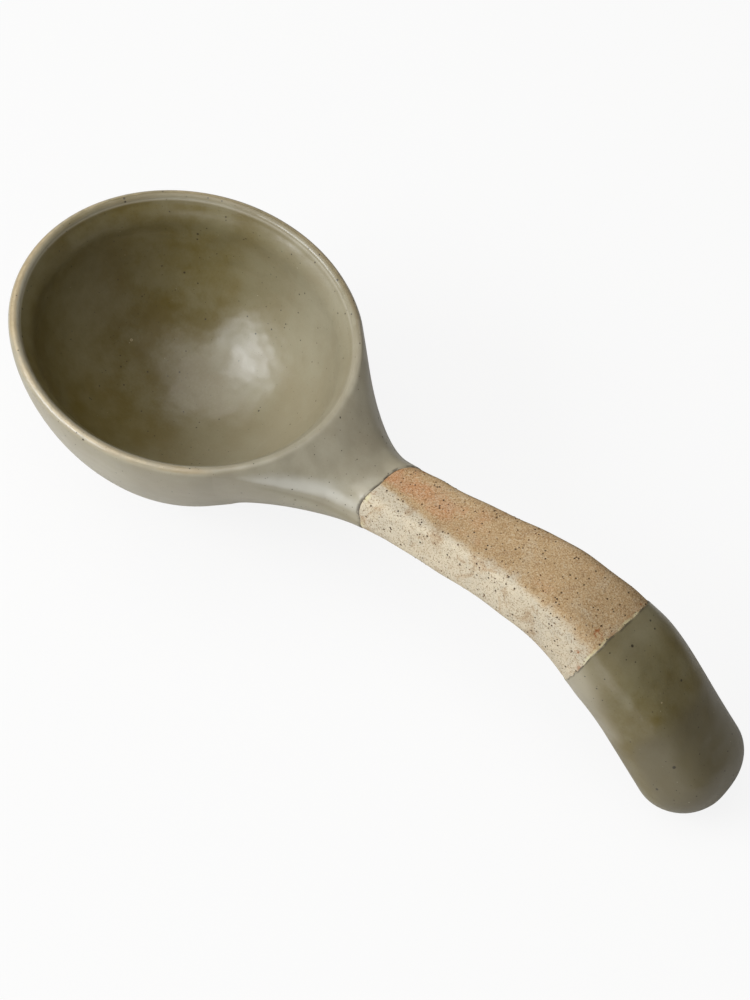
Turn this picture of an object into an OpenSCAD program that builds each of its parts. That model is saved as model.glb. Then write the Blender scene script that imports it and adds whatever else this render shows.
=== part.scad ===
// A hand-built stoneware serving spoon, in millimetres.
// A round thrown bowl, an arched carved handle luted to its wall, and two satin glaze coats.
// One coat covers the bowl and the neck, the other the handle's end, and a band of bare clay lies between.
// The foot's centre is the origin, the rim is level, and the handle runs along +X and rests on its end.

/* [Bowl] */
// Length of the clay bowl over its rim, along the handle
bowl_l = 72.6; // [62:0.2:88]
// Width of the clay bowl over its rim
bowl_w = 66.8; // [56:0.2:82]
// Height of the clay bowl from the table to the crest of its rim
bowl_h = 41.6; // [34:0.2:50]
// Thickness of the clay wall at the rim
lip_t = 1.6; // [1.2:0.1:3.2]
// Thickness of the clay wall below the lip
wall_t = 3.8; // [3:0.1:5]
// Height over which the hollow's wall leans out to the lip
taper_h = 4.8; // [3:0.2:9]
// Thickness of the clay floor under the bowl's hollow
floor_t = 9.4; // [7:0.2:12]
// Diameter of the flat bare foot
foot_d = 22; // [16:0.5:32]
// Height of the glaze line above the table
foot_line_h = 2.4; // [1.5:0.1:4]
// How pointed the outside is in section: 1 is an ellipse, more is more pointed
wall_power = 1.3; // [1:0.01:1.5]
// How pointed the hollow is in section: 1 is an ellipse, more is more pointed
hollow_power = 1; // [1:0.01:1.4]

/* [Neck] */
// Angle each side of the handle over which the rim widens into the neck
flare_angle = 46; // [34:1:52]
// Angle each side of the handle that the neck covers at its lower end on the wall
keel_angle = 30; // [16:1:36]
// Depth of the neck's lower end on the wall, below the crest of the rim
root_depth = 26.2; // [18:0.2:28]
// Length of the neck, from the bowl's rim to the line where the glaze stops
neck_l = 14.9; // [11:0.1:22]
// Drop of the handle's middle line below the rim at the end of the neck
neck_drop = 11.3; // [8:0.1:15]
// Upward slope of the handle at the end of the neck, in degrees
neck_rise = 8.5; // [-4:0.5:13]

/* [Handle] */
// Width of the clay handle at its waist
waist_w = 16.6; // [12:0.2:20]
// Thickness of the clay handle at its waist
waist_t = 12; // [10:0.2:16]
// Width of the clay handle where it is widest
belly_w = 22.4; // [18:0.2:28]
// Thickness of the clay handle where it is thickest
belly_t = 19.4; // [14:0.2:22]
// Length of the handle from the end of the neck to the middle of its rounded end
handle_run = 75.8; // [60:0.2:92]
// Length of the rounded end
end_l = 10; // [8:0.2:14]
// Downward slope of the handle at its rounded end, in degrees
end_droop = 48; // [32:1:54]

/* [Carving] */
// How crisp the edges between the carved faces are
face_power = 12; // [6:1:18]
// How crisp those edges stay under the end coat
end_power = 4; // [3:0.1:9]
// How far the knife wanders in and out, as a share of the handle's half thickness
carve_share = 0.025; // [0:0.005:0.05]

/* [Glaze] */
// Thickness of the glaze coats
glaze_t = 0.4; // [0.25:0.05:0.8]
// How far the glaze lines on the handle wander along it
wander = 0.5; // [0:0.1:1]

/* [Hidden] */

// Rows and columns of the surfaces
columns = 56;
inner_rows = 11;
lip_rows = 6;
neck_wall_rows = 5;
lower_rows = 6;
neck_half_columns = 6;
neck_rows = 7;
band_rows = 9;
end_rows = 5;
tip_rows = 5;

// How closely the hollow's rows are gathered at the lip: 1 is evenly spread
row_power = 1.5;

// Derived sizes of the bowl
outer_rows = neck_wall_rows + lower_rows + 1;
outer_r = bowl_w / 2;
length_scale = bowl_l / bowl_w;
lip_z = bowl_h - lip_t / 2;
inner_depth = lip_z - floor_t;
foot_r = foot_d / 2;
foot_angle = asin(pow(foot_r / outer_r, 1 / wall_power));
outer_depth = lip_z / pow(cos(foot_angle), wall_power);
root_angle = acos(pow((root_depth - lip_t / 2) / outer_depth, 1 / wall_power));
glaze_angle = acos(pow((lip_z - foot_line_h) / outer_depth, 1 / wall_power));
crest_row = inner_rows + lip_rows / 2;
keel_row = inner_rows + lip_rows + neck_wall_rows;
foot_row = inner_rows + lip_rows + outer_rows;
glaze_row = foot_row - 1;

// The neck's mouth on the bowl's wall, counted round its edge
side_rows = keel_row - crest_row;
mouth = 4 * neck_half_columns + 2 * side_rows;

// Rows along the neck and handle, from the bowl's wall to the tip
end_line_row = neck_rows + band_rows;
body_row = end_line_row + end_rows;
arm_rows = body_row + tip_rows - 1;

// The handle's middle line: where the end coat starts, and how far each end's slope carries, as shares of its run
end_line_share = 0.64;
neck_pull_share = 0.6;
end_pull_share = 0.56;
// How strongly the neck keeps the wall's direction and the handle's direction, as shares of its length
root_pull_share = 0.4;
grip_pull_share = 0.95;
// How far down the wall the neck's mouth stays wide: more is further
mouth_power = 2.5;
// Directions in which the neck leaves the wall at the upper and lower corners of its mouth,
// where 0 is over the rim, 90 along the wall towards the handle, and 180 up the wall
rim_turn = 60;
keel_turn = 120;
// Where the handle is widest, as a share of its run
belly_share = 0.77;
// The handle's carved faces: the angle that each one and its mirror image look to, where 0 is sideways and 90 up
face_angles = [90, 14, -38, -90];
// Half angles of the top face and of the underside, where the neck's edges run on
ridge_angle = 38;
under_angle = 40;
// Strokes of the knife along the handle, and how far they shift from one face to the next, as a share of a stroke
strokes = 2.5;
stroke_share = 0.37;

// Where the neck ends and the rounded end starts, which stands so high that the glazed tip touches the table
neck_x = bowl_l / 2 + neck_l;
neck_z = bowl_h - neck_drop;
end_x = neck_x + handle_run;
end_z = glaze_t + norm([end_l * sin(end_droop), belly_t / 2 * cos(end_droop)]);

function unit(v) = v / norm(v);
function mix(a, b, t) = a + (b - a) * t;
function ease(t) = t * t * (3 - 2 * t);
function bell(t) = exp(-t * t);
function total(v) = v * [for (x = v) 1];

// Outline of the bowl's section as [radius, height], from the hollow's floor over the lip to the foot
inner_wall = [for (i = [0:inner_rows])
    let (a = 90 * (1 - pow(1 - i / inner_rows, row_power)))
    let (drop = inner_depth * pow(cos(a), hollow_power))
    let (t = mix(wall_t, lip_t, pow(max(1 - drop / taper_h, 0), 2)))
    [(outer_r - t) * pow(sin(a), hollow_power), lip_z - drop]];
lip = [for (i = [1:lip_rows - 1])
    let (a = 180 - 180 * i / lip_rows)
    [outer_r - lip_t / 2 + lip_t / 2 * cos(a), lip_z + lip_t / 2 * sin(a)]];
outer_wall = [for (i = [0:outer_rows])
    let (a = i <= neck_wall_rows ? mix(90, root_angle, i / neck_wall_rows) :
        i < outer_rows ? mix(root_angle, glaze_angle, (i - neck_wall_rows) / lower_rows) :
        foot_angle)
    [outer_r * pow(sin(a), wall_power), lip_z - outer_depth * pow(cos(a), wall_power)]];
section = concat(inner_wall, lip, outer_wall);

// Half angle of the neck's mouth at a row of the bowl: wide at the rim and well below it, then drawn in
function mouth_angle(k) =
    let (t = min(max(k - crest_row, 0) / side_rows, 1))
    mix(keel_angle, flare_angle, cos(90 * pow(t, mouth_power)));

// Angle round the bowl of a column, with columns gathered at the neck's mouth
function azimuth(k, j) =
    let (s = j > columns / 2 ? j - columns : j)
    let (n = abs(s))
    let (h = mouth_angle(k))
    sign(s) * (n <= neck_half_columns
        ? h * n / neck_half_columns
        : mix(h, 180, (n - neck_half_columns) / (columns / 2 - neck_half_columns)));

function bowl_point(k, j) =
    let (a = azimuth(k, (j + columns) % columns))
    [section[k][0] * cos(a) * length_scale, section[k][0] * sin(a), section[k][1]];

function bowl_normal(k, j) = k == 0 ? [0, 0, 1] :
    let (down = bowl_point(k + 1, j) - bowl_point(k - 1, j))
    let (along = bowl_point(k, j + 1) - bowl_point(k, j - 1))
    unit(cross(down, along));

// Points of the handle's middle line, a curve in the plane y = 0
neck_end = [neck_x, 0, neck_z];
tip_start = [end_x, 0, end_z];
neck_aim = neck_end + handle_run * neck_pull_share * [cos(neck_rise), 0, sin(neck_rise)];
tip_aim = tip_start - handle_run * end_pull_share * [cos(end_droop), 0, -sin(end_droop)];
function line_point(t) =
    pow(1 - t, 3) * neck_end + 3 * pow(1 - t, 2) * t * neck_aim
    + 3 * (1 - t) * t * t * tip_aim + pow(t, 3) * tip_start;
function line_direction(t) = unit(
    pow(1 - t, 2) * (neck_aim - neck_end) + 2 * (1 - t) * t * (tip_aim - neck_aim)
    + t * t * (tip_start - tip_aim));

function arm_width(t) = t < belly_share
    ? mix(waist_w, belly_w, ease(t / belly_share))
    : belly_w;
function arm_thickness(t) = mix(waist_t, belly_t, ease(min(t / belly_share, 1)));

// Radius of the carved section at an angle, for a unit thickness: flat faces with softened edges,
// each face lying a little in or out of the true section where the knife wandered
function facings(a) = abs(a) == 90 ? [a] : [a, 180 - a];
function face_distance(i, t, carve) = 1 + carve * sin(360 * (strokes * t + stroke_share * i));
function carved_radius(a, t, carve) =
    let (p = mix(face_power, end_power, ease(t)))
    let (reach = [for (i = [0:len(face_angles) - 1])
        for (side = facings(face_angles[i]))
            pow(max(cos(a - side), 0) / face_distance(i, t, carve), p)])
    pow(total(reach), -1 / p);

// Angle of a point round the handle, numbered like the neck's mouth
function ring_angle(m) =
    let (a = 2 * neck_half_columns)
    let (b = a + side_rows)
    let (c = b + a)
    m <= a ? mix(90 + ridge_angle, 90 - ridge_angle, m / a) :
    m <= b ? mix(90 - ridge_angle, under_angle - 90, (m - a) / side_rows) :
    m <= c ? mix(under_angle - 90, -90 - under_angle, (m - b) / a) :
    mix(-90 - under_angle, ridge_angle - 270, (m - c) / side_rows);

// A point round the handle at a share of its run, with its section drawn in by a scale
function ring_point(t, m, centre, scale) =
    let (a = ring_angle(m))
    let (d = line_direction(t))
    let (r = carved_radius(a, t, carve_share) * scale)
    let (across = r * cos(a) / carved_radius(0, t, 0) * arm_width(t) / 2)
    let (up = r * sin(a) / carved_radius(sin(a) < 0 ? -90 : 90, t, 0) * arm_thickness(t) / 2)
    centre + across * [0, 1, 0] + up * [-d[2], 0, d[0]];

// Share of the handle's run at a row, with the two glaze lines wandering
function line_wave(m) = cos(2 * (ring_angle(m) - 90)) + 0.5 * cos(5 * (ring_angle(m) - 90));
function row_share(i, m) =
    let (n = i - neck_rows)
    let (t = n <= band_rows
        ? end_line_share * n / band_rows
        : mix(end_line_share, 1, (n - band_rows) / end_rows))
    t + wander / handle_run * line_wave(m) * (bell(n) - bell(n - band_rows));

// The edge of the neck's mouth on the bowl: row and column of each of its points
function mouth_index(m) =
    let (a = 2 * neck_half_columns)
    let (b = a + side_rows)
    let (c = b + a)
    m <= a ? [crest_row, m - neck_half_columns] :
    m <= b ? [crest_row + m - a, neck_half_columns] :
    m <= c ? [keel_row, neck_half_columns - (m - b)] :
    [keel_row - (m - c), -neck_half_columns];
function mouth_point(m) =
    let (q = mouth_index(m))
    bowl_point(q[0], q[1]);
function mouth_normal(m) =
    let (q = mouth_index(m))
    bowl_normal(q[0], q[1]);

// Points of the neck and handle: row 0 lies on the bowl's wall, and the neck leaves it without a crease
function arm_point(i, m) =
    i == 0 ? mouth_point(m) :
    i < neck_rows ? neck_point(i / neck_rows, m) :
    i <= body_row ? let (t = row_share(i, m)) ring_point(t, m, line_point(t), 1) :
    let (b = 90 * (i - body_row) / tip_rows)
    ring_point(1, m, tip_start + end_l * sin(b) * line_direction(1), cos(b));
function turn(m) =
    let (q = mouth_index(m))
    let (n = abs(q[1]) / neck_half_columns)
    q[0] == crest_row ? rim_turn * n * n :
    q[0] == keel_row ? mix(180, keel_turn, n) :
    mix(rim_turn, keel_turn, (q[0] - crest_row) / side_rows);
function leave_direction(m) =
    let (q = mouth_index(m))
    let (around = unit(bowl_point(q[0], q[1] + 1) - bowl_point(q[0], q[1] - 1)))
    cos(turn(m)) * cross(around, mouth_normal(m)) - sign(q[1]) * sin(turn(m)) * around;
function neck_point(u, m) =
    let (start = mouth_point(m))
    let (finish = arm_point(neck_rows, m))
    let (span = norm(finish - start))
    let (leave = leave_direction(m))
    let (arrive = line_direction(row_share(neck_rows, m)))
    (1 + 2 * u) * pow(1 - u, 2) * start + u * u * (3 - 2 * u) * finish
    + u * pow(1 - u, 2) * span * root_pull_share * leave
    + u * u * (u - 1) * span * grip_pull_share * arrive;
function arm_normal(i, m) = i == 0 ? mouth_normal(m) :
    let (round = arm_point(i, m + 1 == mouth ? 0 : m + 1) - arm_point(i, m == 0 ? mouth - 1 : m - 1))
    let (along = arm_point(i + 1, m) - arm_point(i - 1, m))
    unit(cross(along, round));
tip_point = tip_start + end_l * line_direction(1);

// Surfaces as rows of points, bare and with a coat of glaze
bowl_clay = [for (k = [0:foot_row]) [for (j = [0:columns - 1]) bowl_point(k, j)]];
bowl_coat = [for (k = [0:glaze_row]) [for (j = [0:columns - 1])
    bowl_clay[k][j] + glaze_t * bowl_normal(k, j)]];
arm_clay = [for (i = [0:arm_rows]) [for (m = [0:mouth - 1]) arm_point(i, m)]];
neck_coat = [for (i = [0:neck_rows]) [for (m = [0:mouth - 1])
    arm_clay[i][m] + glaze_t * arm_normal(i, m)]];
end_coat = [for (i = [end_line_row:arm_rows]) [for (m = [0:mouth - 1])
    arm_clay[i][m] + glaze_t * arm_normal(i, m)]];

// Triangles of one cell of a surface, and of a surface between two rows
function cell(a, b, c, d, flip) = flip ? [[a, b, c], [b, d, c]] : [[a, c, b], [b, c, d]];
function sheet(grid, first, last, flip = false) =
    let (n = len(grid[0]))
    [for (i = [first:last - 1]) for (j = [0:n - 1])
        each cell(grid[i][j], grid[i][(j + 1) % n], grid[i + 1][j], grid[i + 1][(j + 1) % n], flip)];
function fan(centre, ring, flip = false) =
    let (n = len(ring))
    [for (j = [0:n - 1]) flip ? [centre, ring[(j + 1) % n], ring[j]] : [centre, ring[j], ring[(j + 1) % n]]];
function strip(ring_a, ring_b, flip = false) = sheet([ring_a, ring_b], 0, 1, flip);

// The bowl's cells under the neck's mouth, and all the others
function under_mouth(k, j) = k >= crest_row && k < keel_row
    && (j < neck_half_columns || j >= columns - neck_half_columns);
function bowl_sheet(grid, first, last, covered, flip = false) =
    [for (k = [first:last - 1]) for (j = [0:columns - 1])
        if (under_mouth(k, j) == covered)
            each cell(grid[k][j], grid[k][(j + 1) % columns],
                grid[k + 1][j], grid[k + 1][(j + 1) % columns], flip)];

module closed_skin(triangles) {
    polyhedron(
        points = [for (t = triangles) for (p = t) p],
        faces = [for (i = [0:len(triangles) - 1]) [3 * i + 2, 3 * i + 1, 3 * i]]);
}

// The thrown bowl: one wall from the hollow's floor over the round lip to the flat bare foot
module clay_bowl() {
    color("#c9b594")
        closed_skin(concat(
            fan([0, 0, floor_t], bowl_clay[1]),
            bowl_sheet(bowl_clay, 1, foot_row, false),
            bowl_sheet(bowl_clay, 1, foot_row, true),
            fan([0, 0, 0], bowl_clay[foot_row], true)));
}

// The handle: its root fits the bowl's wall, the neck draws in to the waist, and the arched grip is carved
module clay_handle() {
    color("#c39f74")
        closed_skin(concat(
            bowl_sheet(bowl_clay, crest_row, keel_row, true, true),
            sheet(arm_clay, 0, arm_rows),
            fan(tip_point, arm_clay[arm_rows], true)));
}

// The first coat: inside the bowl, over the lip, down to the foot line and along the neck
module bowl_glaze() {
    color("#6d6650")
        closed_skin(concat(
            fan([0, 0, floor_t + glaze_t], bowl_coat[1]),
            bowl_sheet(bowl_coat, 1, glaze_row, false),
            sheet(neck_coat, 0, neck_rows),
            strip(neck_coat[neck_rows], arm_clay[neck_rows]),
            sheet(arm_clay, 0, neck_rows, true),
            bowl_sheet(bowl_clay, 1, glaze_row, false, true),
            fan([0, 0, floor_t], bowl_clay[1], true),
            strip(bowl_coat[glaze_row], bowl_clay[glaze_row])));
}

// The second coat: over the handle's end, from the lower glaze line to the tip
module handle_end_glaze() {
    coat_rows = arm_rows - end_line_row;
    color("#5f5842")
        closed_skin(concat(
            strip(arm_clay[end_line_row], end_coat[0]),
            sheet(end_coat, 0, coat_rows),
            fan(tip_point + glaze_t * line_direction(1), end_coat[coat_rows], true),
            fan(tip_point, arm_clay[arm_rows]),
            sheet(arm_clay, end_line_row, arm_rows, true)));
}

clay_bowl();
clay_handle();
bowl_glaze();
handle_end_glaze();
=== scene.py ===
"""A hand-built stoneware serving spoon, dressed for close views.

The thrown bowl, the carved handle and the two coats of satin glaze are rebuilt as fine closed
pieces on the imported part. Sizes are in millimetres, and a mesh is brought to metres when it is made.
"""

import logging
import math
from collections.abc import Callable, Sequence
from dataclasses import dataclass, field
from enum import Enum

import bpy
import numpy as np
import numpy.typing as npt
from mathutils import Matrix, Vector


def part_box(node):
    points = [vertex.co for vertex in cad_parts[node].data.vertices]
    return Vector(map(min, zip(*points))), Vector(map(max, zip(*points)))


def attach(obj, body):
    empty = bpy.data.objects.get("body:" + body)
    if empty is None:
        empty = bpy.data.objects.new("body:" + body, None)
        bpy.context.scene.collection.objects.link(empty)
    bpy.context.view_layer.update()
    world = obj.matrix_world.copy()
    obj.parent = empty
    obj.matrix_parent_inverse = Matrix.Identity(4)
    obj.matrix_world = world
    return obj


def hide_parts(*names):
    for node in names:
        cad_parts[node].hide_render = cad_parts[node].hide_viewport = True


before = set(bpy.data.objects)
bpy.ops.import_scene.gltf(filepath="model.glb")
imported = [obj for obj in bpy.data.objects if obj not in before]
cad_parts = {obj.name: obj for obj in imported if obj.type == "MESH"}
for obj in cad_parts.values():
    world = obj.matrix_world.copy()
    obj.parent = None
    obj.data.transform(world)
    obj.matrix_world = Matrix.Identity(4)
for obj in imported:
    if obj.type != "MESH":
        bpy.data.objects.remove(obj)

Array = npt.NDArray[np.float64]
Numbers = npt.NDArray[np.int64]
Colour = tuple[float, float, float, float]
Face = tuple[int, ...]
Spot = tuple[Array, float]
Marks = tuple[tuple[float, float, float], ...]
Span = tuple[float, float]
Pattern = tuple[float, ...]
Socket = bpy.types.NodeSocket
Object = bpy.types.Object
Material = bpy.types.Material

MM = 0.001
BODY = "root"
SEED = 7
FAR_MM = 50.0  # A distance from the glaze lines that counts as far from both.
FIT_MM = 0.5  # How far a rule for the glaze on the handle reaches past its line.
FOOT_ROW_MM = 3.0  # Distance that one row of the wall stands for beside the foot's glaze line.
NEAR_PX = 7.0  # Pixels round a mark within which the surface nearest to the camera is looked for.
SMALLEST_DOT = 0.35  # Radius of the smallest dot of a pattern, as a share of the largest.
SPOT_CORE = 0.55  # Share of a marked spot's radius within which it shows in full.
WHITE: Colour = (1.0, 1.0, 1.0, 1.0)

log = logging.getLogger("spoon")


class Slot(Enum):
    """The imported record's material slots."""

    CLAY = "bare_stoneware"
    GLAZE = "olive_satin_glaze"


class Trait(Enum):
    """The point attributes that the finishes read."""

    RIM = "rim_share"
    LINE = "line_mm"
    TOAST_AND_LIGHT = "toast_and_light_share"
    POOL_AND_LIGHT = "pool_and_light_share"


def linear(code: str) -> Colour:
    """Return the renderer's linear colour of a screen colour, a hash sign and six hexadecimal digits."""
    channels = (int(code[i:i + 2], 16) / 255 for i in (1, 3, 5))
    return *(c / 12.92 if c <= 0.04045 else ((c + 0.055) / 1.055) ** 2.4 for c in channels), 1.0


def mix(a: Array | float, b: Array | float, t: Array | float) -> Array:
    """Return the value that lies the share t of the way from a to b."""
    return a + (b - a) * t


def ease(t: Array) -> Array:
    """Return t clipped to 0..1 with soft ends."""
    t = np.clip(t, 0, 1)
    return t * t * (3 - 2 * t)


def rise(x: Array, start: float, end: float) -> Array:
    """Return 0 at start, 1 at end and a soft step between, where the end may lie below the start."""
    return ease((x - start) / (end - start))


def hump(x: Array, middle: float, width: float) -> Array:
    """Return a bell curve that is 1 in its middle."""
    return np.exp(-((x - middle) / width) ** 2)


def unit(v: Array) -> Array:
    """Return the vectors at length 1, with zero vectors left as they are."""
    size = np.linalg.norm(v, axis=-1, keepdims=True)
    return v / np.where(size > 0, size, 1)


def stack(x: Array | float, y: Array | float, z: Array | float) -> Array:
    """Return points from three arrays that broadcast together."""
    return np.stack(np.broadcast_arrays(x, y, z), axis=-1).astype(float)


def direction(azimuth: float, elevation: float) -> Vector:
    """Return the way out from the spoon at an angle round it and one above the table, in degrees."""
    az, el = math.radians(azimuth), math.radians(elevation)
    return Vector((math.sin(az) * math.cos(el), -math.cos(az) * math.cos(el), math.sin(el)))


def quads(numbers: Numbers, kept: Array | bool = True) -> list[Face]:
    """Make the faces between rows and columns of points, where the last column meets the first.

    Args:
        numbers: The points' numbers, all alike in a row that shrinks to one point.
        kept: Which faces are wanted.

    Returns:
        The corners of each face, four of them, or three beside such a row.
    """
    closed = np.concatenate([numbers, numbers[:, :1]], axis=1)
    corners = np.stack([closed[:-1, :-1], closed[1:, :-1], closed[1:, 1:], closed[:-1, 1:]], axis=-1)
    return [tuple(dict.fromkeys(face)) for face in corners[np.broadcast_to(kept, corners.shape[:2])].tolist()]


def add_object(name: str, data: bpy.types.ID) -> Object:
    """Make an object of some data and link it to the scene.

    Args:
        name: Its name.
        data: Its mesh, lamp or camera.

    Returns:
        The new object.
    """
    made = bpy.data.objects.new(name, data)
    bpy.context.scene.collection.objects.link(made)
    return made


def hand_over(piece: Object, slot: Slot, node: str = "") -> Object:
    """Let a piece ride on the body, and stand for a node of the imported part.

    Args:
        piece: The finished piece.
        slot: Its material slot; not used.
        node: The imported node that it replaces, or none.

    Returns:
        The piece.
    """
    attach(piece, BODY)
    if node:
        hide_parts(node)
    return piece


@dataclass(frozen=True)
class Waves:
    """A smooth uneven field in space, such as a hand leaves: a sum of plane waves."""

    seed: int  # Chooses the waves.
    shortest: float  # Shortest wave length.
    longest: float  # Longest wave length.
    count: int = 14  # How many waves are summed.
    spread: float = 1.5  # Divisor that brings most values within -1..1.

    def at(self, points: Array) -> Array:
        """Sample the field.

        Args:
            points: Places, with x, y and z last.

        Returns:
            One value for each place.
        """
        rng = np.random.default_rng(self.seed)
        ways = unit(rng.normal(size=(self.count, 3)))
        lengths = rng.uniform(self.shortest, self.longest, self.count)
        phases = rng.uniform(0, 2 * np.pi, self.count)
        waves = np.sin(points @ (ways * (2 * np.pi / lengths)[:, None]).T + phases)
        return waves @ (lengths / lengths.sum()) * math.sqrt(self.count) / self.spread


@dataclass
class Wall:
    """The thrown wall of the bowl: a section of hollow, lip and outside, turned about the upright axis.

    A place on it is a row k, counted in bands from the middle of the hollow to the foot, and a column n,
    counted in steps round the bowl from the handle's side, with the steps gathered at the neck.
    """

    length: float  # Length of the clay over its rim, along the handle.
    width: float  # Width of the clay over its rim.
    height: float  # Height of the clay to the crest of its rim.
    lip: float = 1.6  # Thickness of the clay at the rim.
    wall: float = 3.8  # Thickness of the clay below the lip.
    taper: float = 4.8  # Height over which the hollow's wall leans out to the lip.
    floor: float = 9.4  # Thickness of the clay under the hollow.
    foot: float = 22.0  # Diameter of the flat bare foot.
    foot_line: float = 2.4  # Height of the glaze line above the table.
    power: float = 1.3  # How pointed the outside is in section, where 1 is an ellipse.
    hollow_power: float = 1.0  # How pointed the hollow is in section.
    flare_angle: float = 46.0  # Angle each side of the handle over which the rim widens into the neck.
    keel_angle: float = 30.0  # Angle each side of the handle that the neck covers low on the wall.
    root_depth: float = 26.2  # Depth of the neck's lower end on the wall, below the crest of the rim.
    mouth_power: float = 2.5  # How far down the wall the neck's mouth stays wide.
    row_power: float = 1.5  # How closely the hollow's rows gather towards the lip.
    hollow_bands: int = 11  # Bands of rows in the hollow, then over the lip, beside the neck and below it.
    lip_bands: int = 6
    neck_bands: int = 5
    lower_bands: int = 6
    steps: int = 56  # Steps round the whole bowl.
    neck_steps: int = 6  # Steps each side of the handle that end at the neck.
    soft_rows: float = 1.1  # Rows over which the corner between hollow and lip is softened.
    soft_shift: float = 0.2  # How many rows below the corner the softening is strongest.
    soft_reach: float = 1.1  # Rows over which the softening fades.

    def __post_init__(self) -> None:
        """Work out the rows at which the wall changes, and the angles of its section there."""
        self.lip_end = self.hollow_bands + self.lip_bands
        self.crest = self.hollow_bands + self.lip_bands / 2
        self.keel = self.lip_end + self.neck_bands
        self.glaze_row = self.keel + self.lower_bands
        self.foot_row = self.glaze_row + 1
        self.side = self.keel - self.crest
        self.lip_z = self.height - self.lip / 2
        self.foot_angle = math.asin((self.foot / self.width) ** (1 / self.power))
        self.depth = self.lip_z / math.cos(self.foot_angle) ** self.power
        self.root_angle, self.glaze_angle = (math.acos((drop / self.depth) ** (1 / self.power)) for drop in (
            self.root_depth - self.lip / 2, self.lip_z - self.foot_line))

    def section(self, k: Array) -> tuple[Array, Array]:
        """Outline of the wall, softened where the hollow meets the lip.

        Args:
            k: Rows.

        Returns:
            Radius across the handle's line, and height, at each row.
        """
        near = hump(k - self.hollow_bands, self.soft_shift, self.soft_reach) * self.soft_rows
        rows = [np.clip(k + near * step, 0, self.foot_row) for step in (-1.0, -0.5, 0.0, 0.5, 1.0)]
        radius, height = np.mean([self.outline(row) for row in rows], axis=0)
        return radius, height

    def outline(self, k: Array) -> tuple[Array, Array]:
        """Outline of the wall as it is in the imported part.

        Args:
            k: Rows.

        Returns:
            Radius across the handle's line, and height, at each row.
        """
        outer, half = self.width / 2, self.lip / 2
        a_in = np.pi / 2 * (1 - (1 - np.clip(k / self.hollow_bands, 0, 1)) ** self.row_power)
        drop = (self.lip_z - self.floor) * np.abs(np.cos(a_in)) ** self.hollow_power
        thick = mix(self.wall, self.lip, np.maximum(1 - drop / self.taper, 0) ** 2)
        a_lip = np.pi * (1 - np.clip((k - self.hollow_bands) / self.lip_bands, 0, 1))
        a_out = np.interp(k, [self.lip_end, self.keel, self.glaze_row, self.foot_row],
                          [np.pi / 2, self.root_angle, self.glaze_angle, self.foot_angle])
        hollow = (outer - thick) * np.sin(a_in) ** self.hollow_power, self.lip_z - drop
        lip = outer - half + half * np.cos(a_lip), self.lip_z + half * np.sin(a_lip)
        outside = (outer * np.abs(np.sin(a_out)) ** self.power,
                   self.lip_z - self.depth * np.abs(np.cos(a_out)) ** self.power)
        tests = [k <= self.hollow_bands, k < self.lip_end]
        radius, height = (np.select(tests, [hollow[i], lip[i]], outside[i]) for i in (0, 1))
        return radius, height

    def azimuth(self, k: Array, n: Array) -> Array:
        """Angle round the bowl.

        Args:
            k: Rows.
            n: Columns.

        Returns:
            The angle at each place, in radians.
        """
        s = (n + self.steps / 2) % self.steps - self.steps / 2
        t = np.clip((k - self.crest) / self.side, 0, 1)
        mouth = np.radians(mix(self.keel_angle, self.flare_angle, np.cos(np.pi / 2 * t ** self.mouth_power)))
        away = np.abs(s)
        near = mouth * away / self.neck_steps
        far = mix(mouth, np.pi, (away - self.neck_steps) / (self.steps / 2 - self.neck_steps))
        return np.sign(s) * np.where(away <= self.neck_steps, near, far)

    def point(self, k: Array, n: Array) -> Array:
        """Return the points of the clay at rows and columns."""
        a, (radius, height) = self.azimuth(k, n), self.section(k)
        return stack(radius * np.cos(a) * self.length / self.width, radius * np.sin(a), height)

    def frame_at(self, k: Array, n: Array, step: float = 0.05) -> tuple[Array, Array]:
        """Directions on the wall.

        Args:
            k: Rows.
            n: Columns.
            step: Small distance over which the slope is measured, in rows.

        Returns:
            Unit vectors round the bowl and straight out of the wall.
        """
        around = unit(self.point(k, n + step) - self.point(k, n - step))
        down = self.point(k + step, n) - self.point(k - step, n)
        return around, unit(np.cross(down, around))

    def round_mouth(self, m: Array, corners: Sequence[float]) -> Array:
        """Return a value at steps m round the neck's mouth, from those at its corners and the first again."""
        over = 2 * self.neck_steps
        return np.interp(m, np.cumsum([0, over, self.side, over, self.side]), corners)

    def mouth_place(self, m: Array) -> tuple[Array, Array]:
        """Return row and column of the neck's mouth at steps m, counted round it over the rim first."""
        crest, keel, n = self.crest, self.keel, self.neck_steps
        return self.round_mouth(m, (crest, crest, keel, keel, crest)), self.round_mouth(m, (-n, n, n, -n, -n))


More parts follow.
